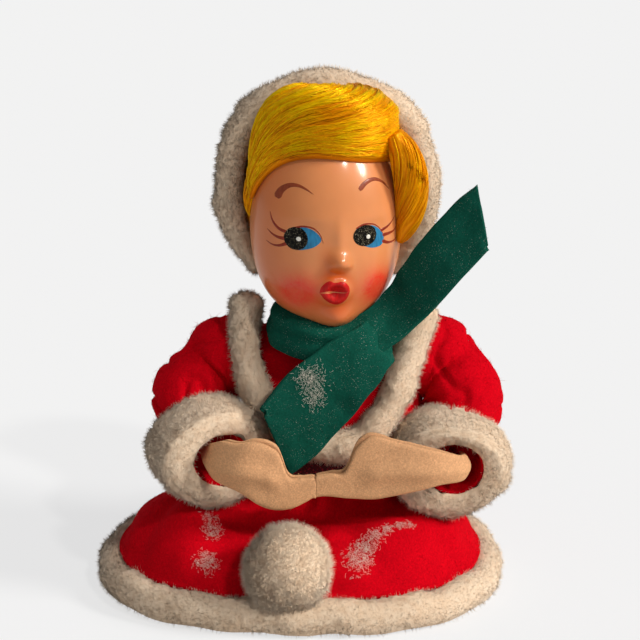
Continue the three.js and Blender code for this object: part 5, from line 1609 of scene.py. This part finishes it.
def hand_layers(arm, layer, rows=110, columns=26):
    """One layer of the hand: a strip along the wire with thumb and heel swellings. Its middle
    bows over the wire, and its edges lie on the other layer."""
    aim, cuff = cuff_place(arm)
    start = cuff + aim * (CUFF_LENGTH / 2 - MOUTH_DEPTH * 0.45)
    route = through([start, *[np.array(p, float) for p in arm["hand"]], np.array(arm["tip"])])
    total = length_along(route)[-1]
    u = np.linspace(0, 1, rows)
    middle = at_share(route, u)
    along = unit(np.gradient(middle, axis=0) * [1, 1, 0])
    facing = xyz(along[:, 1], -along[:, 0], 0 * u) * (1 if arm["side"] == -1 else -1)

    top, bottom = stations(u * total, *arm["top"]), stations(u * total, *arm["bottom"])
    top = top - max(layer, 0) * 0.75 * bell((u * total - arm["thumb"]) / 3.2)
    v = np.linspace(0, 1, columns)[None]
    height = mix(-bottom[:, None], top[:, None], v)
    wire = 1 - smoothstep(u, 0.656, 0.8)[:, None]
    gap = 0.15 + (0.95 + 0.4 * (1 - smoothstep(u, 0, 0.3)[:, None])) * bell(height / 1.9) * wire
    spots = middle[:, None] + xyz(0, 0, height)
    gap = gap + 0.12 * (noise(spots, 3.5, 81 + arm["side"]) + 1) * 0.5
    rounding = 1 - 0.3 * np.abs(2 * v - 1) ** 10
    inner = spots + facing[:, None] * (layer * gap)[..., None]
    outer = spots + facing[:, None] * (layer * (gap + HAND_FELT * rounding))[..., None]
    return outer, inner, facing[:, None] * layer + 0 * outer


# Properties, operators and panel

FLOOR_HALF, FLOOR_DROP = 6.0, 0.00002
CAMERA_PLACE, CAMERA_DOWN = (-1.8 * MM, -285 * MM, 129 * MM), 15.31


def colour_property(name, description, code):
    settings = {"subtype": "COLOR", "size": 3, "min": 0, "max": 1, "default": colour(code)[:3]}
    return bpy.props.FloatVectorProperty(name=name, description=description, **settings)


def length_property(name, description, default):
    return bpy.props.FloatProperty(
        name=name, description=description, default=default, subtype="DISTANCE", unit="LENGTH", min=0
    )


class DollCloth(bpy.types.PropertyGroup):
    """Sizes of the fleece and the felt."""

    pile_length: length_property("Pile length", "Length of a fleece fibre", 0.9 * MM)
    fibre_radius: length_property("Fibre radius", "Half the thickness of a fibre", 0.055 * MM)
    tuft_height: length_property("Tuft height", "How far the tufts stand out", 0.75 * MM)
    pile_density: bpy.props.FloatProperty(
        name="Pile density", description="Fibres on a square millimetre", default=12.0, min=0
    )
    fuzz_density: bpy.props.FloatProperty(
        name="Fuzz density", description="Loose felt fibres on a square millimetre", default=1.6, min=0
    )
    hair_threads: bpy.props.IntProperty(
        name="Hair threads", description="Threads on the fringe", default=3400, min=0
    )


class DollColours(bpy.types.PropertyGroup):
    """Colours of the cloth, the head and the hair."""

    red: colour_property("Red felt", "Hood, jacket, sleeves and skirt", "d60218")
    green: colour_property("Green felt", "Scarf", "125547")
    hand: colour_property("Hand felt", "Hands", "e6b083")
    fleece: colour_property("Fleece", "Tips of the pile", "ffecd4")
    # The shaded copy of the fleece, used as painted shade between the tufts
    fleece_deep: colour_property("Fleece ground", "Between the tufts", "efcfae")
    skin: colour_property("Head", "Moulded plastic of the head", "e0905a")
    blush: colour_property("Blush", "Sprayed colour of the cheeks", "e83c26")


class DollStage(bpy.types.PropertyGroup):
    """Lamps, floor and camera."""

    key: bpy.props.FloatProperty(name="Key", description="Strength of the main lamp", default=2.6)
    fill: bpy.props.FloatProperty(name="Fill", description="Strength of the world", default=0.24)
    lens: bpy.props.FloatProperty(
        name="Lens", description="Focal length of the camera", default=82.5, unit="CAMERA"
    )


class DollOperator:
    bl_options = {"REGISTER", "UNDO"}

    def execute(self, context):
        self.build(context.scene)
        return {"FINISHED"}


class DOLL_OT_frame(DollOperator, bpy.types.Operator):
    """Give the board, the neck post and the wires their finishes"""

    bl_idname = "doll.frame"
    bl_label = "Board, Post and Wires"

    def build(self, scene):
        wires = ("wire_across", "arm_wire_left", "arm_wire_right")
        looks = {"base_board": "base cardboard", "neck_post": "neck wood"}
        for node, look in {**looks, **dict.fromkeys(wires, "wire steel")}.items():
            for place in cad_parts[node].material_slots:
                place.material = made(plain_finish, look)


class DOLL_OT_stuffing(DollOperator, bpy.types.Operator):
    """Build the stuffed hips and the stuffed upper body"""

    bl_idname = "doll.stuffing"
    bl_label = "Stuffing"

    def build(self, scene):
        # The frame brings the material of this name, and the stuffing keeps it
        finish = bpy.data.materials["stuffing"]
        u, v = open_and_round(60, 100)
        under = skirt_point(mix(0.5, 0.1, u), v)
        under[..., 2] -= FELT + CLEARANCE + 0.5
        foot = np.clip(u / 0.25, 0, 1)
        height = np.where(u < 0.25, mix(BOARD_TOP, under[..., 2], foot), under[..., 2])
        tuck = 0.06 * (1 - np.sin(foot * np.pi / 2))[..., None]
        points = mix(under, xyz(-4.5, -1.6, under[..., 2]), tuck)
        points[..., 2] = height
        inward = -0.25 - 0.3 * (noise(points, 5, 91) + 1) * smoothstep(u, 0.02, 0.1)
        points = points + grid_normals(points, False, True) * inward[..., None]
        points[..., 2] = np.maximum(points[..., 2], BOARD_TOP)
        hips = put("hip_stuffing", tube_form(points), finish, "body", ["hips"])
        height = np.linspace(20.6, 48.2, 70)[:, None] + np.zeros((1, 96))
        turn = np.zeros((70, 1)) + np.arange(96) / 96
        points = torso_point(height, turn, -0.15)
        soft = -0.25 * (noise(points, 5, 95) + 1)
        points = points + grid_normals(points, False, True) * soft[..., None]
        stub_radius = np.array([5.6, 5.2, 5.0, 4.8])[:, None]
        stub = xyz(
            stub_radius * np.cos(TAU * turn[:4]),
            NECK_Y + stub_radius * np.sin(TAU * turn[:4]),
            np.array([48.3, 49.2, 50.2, 51.2])[:, None],
        )
        trunk = tube_form(np.concatenate([points, stub]))
        put("torso_stuffing", trunk, finish, "body", ["torso_core"])


class DOLL_OT_skirt(DollOperator, bpy.types.Operator):
    """Build the spread skirt and its waist tape"""

    bl_idname = "doll.skirt"
    bl_label = "Skirt"

    def build(self, scene):
        outer, normals = skirt_grid(90, 360)
        faces = outer, outer - normals * FELT
        put_felt("skirt_felt", "red", "body", "skirt", faces, True)
        fuzz = fuzz_form(outer, normals, scene.doll_cloth.fuzz_density, 101, loop=True)
        put_fuzz("skirt_fuzz", "red", "body", fuzz)
        put_lint("skirt_lint", lint_form(outer, normals, SKIRT_LINT, 1700, 105))
        t, turn = open_and_round(8, 240, WAIST_TAPE_SHARE)
        surface = skirt_point(t, turn)
        out = xyz(np.cos(TAU * turn), np.sin(TAU * turn), 0.15)
        wave = 0.6 + 0.18 * np.sin(60 * TAU * turn) + 0.1 * noise(surface, 1.2, 103)
        base = surface + out * wave[..., None]
        shape, net = sheet_form(base + out * 0.6, base, True), made(gauze_finish, "waist tape")
        tape = put("waist_tape_band", shape, net, "body", ["waistband"])


class DOLL_OT_hem(DollOperator, bpy.types.Operator):
    """Build the fleece roll round the hem and the pompom"""

    bl_idname = "doll.hem"
    bl_label = "Hem Roll and Pompom"

    def build(self, scene):
        cloth = cloth_of(scene)
        grid = hem_grid(560, 40)
        weight = np.clip((grid[..., 2] - 0.5) / 1.0, 0.02, 1)
        hem = fleece_form(grid, cloth, 111, True, weight, dense=0.62)
        hem["points"][:, 2] = np.maximum(hem["points"][:, 2], 0.0)
        put_fleece("hem_fleece", hem, "body", "skirt_trim")
        grid = ball_grid(pompom_centre(), POMPOM_RADIUS, 60, 90)
        ball = fleece_form(grid, cloth, 121, long=1.5, dense=1.6)
        put_fleece("pompom_fleece", ball, "body", "pompom")


class DOLL_OT_jacket(DollOperator, bpy.types.Operator):
    """Build the jacket, its front panel and its fleece edging"""

    bl_idname = "doll.jacket"
    bl_label = "Jacket"

    def build(self, scene):
        left, right = opening_turns(np.linspace(JACKET_HEM, JACKET_COLLAR, 90))
        gap = PANEL_GAP_TURNS
        round_back, front = (right + gap, left + 1 - gap, 90, 220), (left + gap, right - gap, 90, 90)
        for name, node, place, seed, size in (
            ("jacket", "jacket", round_back, 131, (90, 24)),
            ("front", "front_panel", front, 135, (34, 24)),
        ):
            *faces, outward = jacket_layers(*place, seed)
            felt_name = name + "_felt"
            put_felt(felt_name, "red", "body", node, faces)
            fuzz = fuzz_form(faces[0], outward, scene.doll_cloth.fuzz_density, seed + 2)
            put_fuzz(name + "_fuzz", "red", "body", fuzz)
        trim = fleece_form(trim_grid(), cloth_of(scene), 141)
        put_fleece("jacket_fleece", trim, "body", "jacket_trim")


class DOLL_OT_scarf(DollOperator, bpy.types.Operator):
    """Build the scarf"""

    bl_idname = "doll.scarf"
    bl_label = "Scarf"

    def build(self, scene):
        front, back, facing = scarf_layers()
        faces, size = (front, back), (15, 130)
        put_felt("scarf_felt", "green", "body", "scarf", faces)
        density = scene.doll_cloth.fuzz_density
        fuzz = (fuzz_form(front, facing, density, 151), fuzz_form(back, -facing, density, 153))
        put_fuzz("scarf_fuzz", "green", "body", *fuzz)
        ahead = facing[..., 1:2] < 0
        seen, outward = np.where(ahead, front, back), np.where(ahead, facing, -facing)
        put_lint("scarf_lint", lint_form(seen, outward, SCARF_LINT, 520, 155))


class DOLL_OT_head(DollOperator, bpy.types.Operator):
    """Build the moulded head and paint its face"""

    bl_idname = "doll.head"
    bl_label = "Head and Face"

    def build(self, scene):
        tones = scene.doll_colours
        skin = made(skin_finish, "head plastic", hexed(tones.skin), (*tones.blush, 1))
        put("head_skin", head_form(), skin, "head", ["head_shell"])
        irises, pupils, glints = [], [], []
        for eye in EYES.values():
            (x, z, wide, high), glint = eye["pupil"], eye["glint"]
            irises.append(pool(eye["outline"], (x + 0.9, z - 0.1), PAINT))
            pupils.append(pool(oval(x, z, wide, high), (x, z), 2 * PAINT))
            glints.append(pool(oval(*glint, 0.42, 0.42), glint, 3 * PAINT))
        brows = [stroke(BROWS["brow_left"], 0.66, 0.1), stroke(BROWS["brow_right"], 0.56, 0.12)]
        lips = [band(UPPER_LIP_TOP, UPPER_LIP_LOW, PAINT), band(LOWER_LIP_TOP, LOWER_LIP_LOW, PAINT)]
        for name, shapes, *paint in (
            ("lashes", [stroke(*lash) for lash in LASHES.values()], "lash paint", "8c2c14"),
            ("brows", brows, "brow paint", "8e4024"),
            ("irises", irises, "eye blue", "2778a6"),
            ("pupils", pupils, "eye black", "080604", 0.55, 0.08),
            ("glints", glints, "eye white", "f2f0e6"),
            ("lips", lips, "lip paint", "c41a1a", 0.0, 0.12),
        ):
            finish = made(paint_finish, *paint)
            put(name, joined(*shapes), finish, "head")


class DOLL_OT_hair(DollOperator, bpy.types.Operator):
    """Build the combed hair: cap, fringe and two side locks"""

    bl_idname = "doll.hair"
    bl_label = "Hair"

    def build(self, scene):
        floss = made(floss_finish, "hair floss")
        put("hair_back", cap_form(), floss, "head", ["hair_cap"])
        put("fringe_mass", fringe_form(), floss, "head", ["fringe"])
        combed = fringe_threads(scene.doll_cloth.hair_threads)
        put("fringe_threads", combed, floss, "head")
        for seed, (name, lock) in enumerate(LOCKS.items()):
            shape = lock_threads(lock, 420, 161 + seed)
            put("lock_" + name, shape, floss, "head", ["side_lock_" + name])


class DOLL_OT_hood(DollOperator, bpy.types.Operator):
    """Build the hood and the fleece roll round the face"""

    bl_idname = "doll.hood"
    bl_label = "Hood"

    def build(self, scene):
        *faces, outward = hood_layers()
        put_felt("hood_felt", "red", "head", "hood", faces)
        fuzz = fuzz_form(faces[0], outward, scene.doll_cloth.fuzz_density, 171)
        put_fuzz("hood_fuzz", "red", "head", fuzz)
        ring = fleece_form(ring_grid(), cloth_of(scene), 173)
        put_fleece("hood_fleece", ring, "head", "hood_trim")


class DOLL_OT_arms(DollOperator, bpy.types.Operator):
    """Build both sleeves, cuffs and hands"""

    bl_idname = "doll.arms"
    bl_label = "Arms"

    def build(self, scene):
        for seed, (name, arm) in enumerate(ARMS.items()):
            body = "arm_" + name
            shape, outer = sleeve_form(arm, 181 + seed)
            node = "sleeve_" + name
            sleeve = put("sleeve_felt_" + name, shape, felt("red"), body, [node])
            normals = grid_normals(outer, False, True)
            near = fuzz_form(outer, normals, scene.doll_cloth.fuzz_density, 185 + seed, loop=True)
            long = fuzz_form(outer, normals, 0.3, 205 + seed, length=1.5, loop=True)
            put_fuzz("sleeve_fuzz_" + name, "red", body, near, long)
            grid, weight = cuff_grid(arm)
            cuff = fleece_form(grid, cloth_of(scene), 191 + seed, True, weight)
            put_fleece("cuff_fleece_" + name, cuff, body, "cuff_" + name)
            for side, layer in (("front", 1), ("back", -1)):
                *faces, outward = hand_layers(arm, layer)
                end, wire = f"{side}_{name}", "arm_wire_" + name
                put_felt(
                    "hand_felt_" + end, "hand", body, "hand_" + end, faces
                )
                fuzz = fuzz_form(faces[0], outward, 1.0, 195 + seed + 2 * layer, length=0.4)
                put_fuzz("hand_fuzz_" + end, "hand", body, fuzz)


class DOLL_OT_stage(DollOperator, bpy.types.Operator):
    """Build the floor, the lamps and the camera"""

    bl_idname = "doll.stage"
    bl_label = "Stage"

    def build(self, scene):
        stage = scene.doll_stage
        mesh = bpy.data.meshes.new("floor")
        signs = ((-1, -1), (1, -1), (1, 1), (-1, 1))
        corners = [(x * FLOOR_HALF, y * FLOOR_HALF, -FLOOR_DROP) for x, y in signs]
        mesh.from_pydata(corners, [], [(0, 1, 2, 3)])
        floor = bpy.data.objects.new("floor", mesh)
        scene.collection.objects.link(floor)
        mesh.materials.append(floor_finish())
        for name, turn, strength, angle in (
            ("key_lamp", (np.radians(59), 0, np.radians(73)), stage.key, 14),
            ("front_lamp", (np.radians(48), 0, np.radians(42)), 0.95, 4),
        ):
            lamp = bpy.data.lights.new(name, "SUN")
            lamp.energy = strength
            lamp.angle = np.radians(angle)
            lamp.color = (1.0, 0.94, 0.86)
            holder = bpy.data.objects.new(name, lamp)
            holder.rotation_euler = turn
            scene.collection.objects.link(holder)
        world_light(scene, stage.fill)
        camera = bpy.data.cameras.new("camera")
        camera.sensor_width = 36
        camera.lens = stage.lens
        camera.clip_start = 0.005
        holder = bpy.data.objects.new("camera", camera)
        holder.location = CAMERA_PLACE
        holder.rotation_euler = (np.radians(90 - CAMERA_DOWN), 0, 0)
        scene.collection.objects.link(holder)
        scene.camera = holder
        scene.view_settings.view_transform = "Standard"


def shown_background(tree, behind, seen):
    """Camera rays get one shader, and light gets the other."""
    path = tree.nodes.new("ShaderNodeLightPath")
    chosen = tree.nodes.new("ShaderNodeMixShader")
    tree.links.new(path.outputs["Is Camera Ray"], chosen.inputs[0])
    tree.links.new(behind, chosen.inputs[1])
    tree.links.new(seen, chosen.inputs[2])
    return chosen.outputs[0]


def floor_finish():
    """Pale and matt. The camera sees it with a glow added, which keeps the shadow light."""
    grey = (0.78, 0.78, 0.78, 1)
    f = Finish("floor paper", roughness=1.0, specular_ior_level=0.0, base_color=grey)
    plain = f.shader.outputs[0]
    soft = f.add("BsdfDiffuse", {"Color": (0.24, 0.25, 0.265, 1)}).outputs[0]
    glow = f.add("Emission", {"Color": (1, 1, 1, 1), "Strength": 0.68}).outputs[0]
    both = f.add("AddShader", {0: soft, 1: glow}).outputs[0]
    out = f.tree.nodes["Material Output"]
    f.tree.links.new(shown_background(f.tree, plain, both), out.inputs["Surface"])
    return f.material


def world_light(scene, strength):
    world = bpy.data.worlds.new("studio")
    world.use_nodes = True
    scene.world = world
    tree = world.node_tree
    light = tree.nodes["Background"]
    light.inputs["Color"].default_value = (1.0, 0.985, 0.97, 1)
    light.inputs["Strength"].default_value = strength
    seen = tree.nodes.new("ShaderNodeBackground")
    seen.inputs["Color"].default_value = (0.913, 0.913, 0.913, 1)
    seen.inputs["Strength"].default_value = 1.0
    out = tree.nodes["World Output"]
    shown = shown_background(tree, light.outputs[0], seen.outputs[0])
    tree.links.new(shown, out.inputs["Surface"])


OPERATORS = (
    DOLL_OT_stage,
    DOLL_OT_frame,
    DOLL_OT_stuffing,
    DOLL_OT_skirt,
    DOLL_OT_hem,
    DOLL_OT_jacket,
    DOLL_OT_scarf,
    DOLL_OT_head,
    DOLL_OT_hair,
    DOLL_OT_hood,
    DOLL_OT_arms,
)


class DOLL_PT_sidebar(bpy.types.Panel):
    """The doll's sizes, colours and pieces"""

    bl_idname = "DOLL_PT_sidebar"
    bl_label = "Felt Hood Doll"
    bl_space_type = "VIEW_3D"
    bl_region_type = "UI"
    bl_category = "Doll"

    def draw(self, context):
        for group in ("doll_cloth", "doll_colours", "doll_stage"):
            box = self.layout.box()
            values = getattr(context.scene, group)
            for key in values.bl_rna.properties.keys():
                if key not in ("rna_type", "name"):
                    box.prop(values, key)
        for kind in OPERATORS:
            self.layout.operator(kind.bl_idname)


GROUPS = {"doll_cloth": DollCloth, "doll_colours": DollColours, "doll_stage": DollStage}
CLASSES = (*GROUPS.values(), *OPERATORS, DOLL_PT_sidebar)


def register():
    for kind in CLASSES:
        bpy.utils.register_class(kind)
    for name, kind in GROUPS.items():
        setattr(bpy.types.Scene, name, bpy.props.PointerProperty(type=kind))


def unregister():
    for name in GROUPS:
        delattr(bpy.types.Scene, name)
    for kind in reversed(CLASSES):
        bpy.utils.unregister_class(kind)


def main():
    register()
    for kind in OPERATORS:
        group, name = kind.bl_idname.split(".")
        getattr(getattr(bpy.ops, group), name)()


if __name__ == "__main__":
    main()
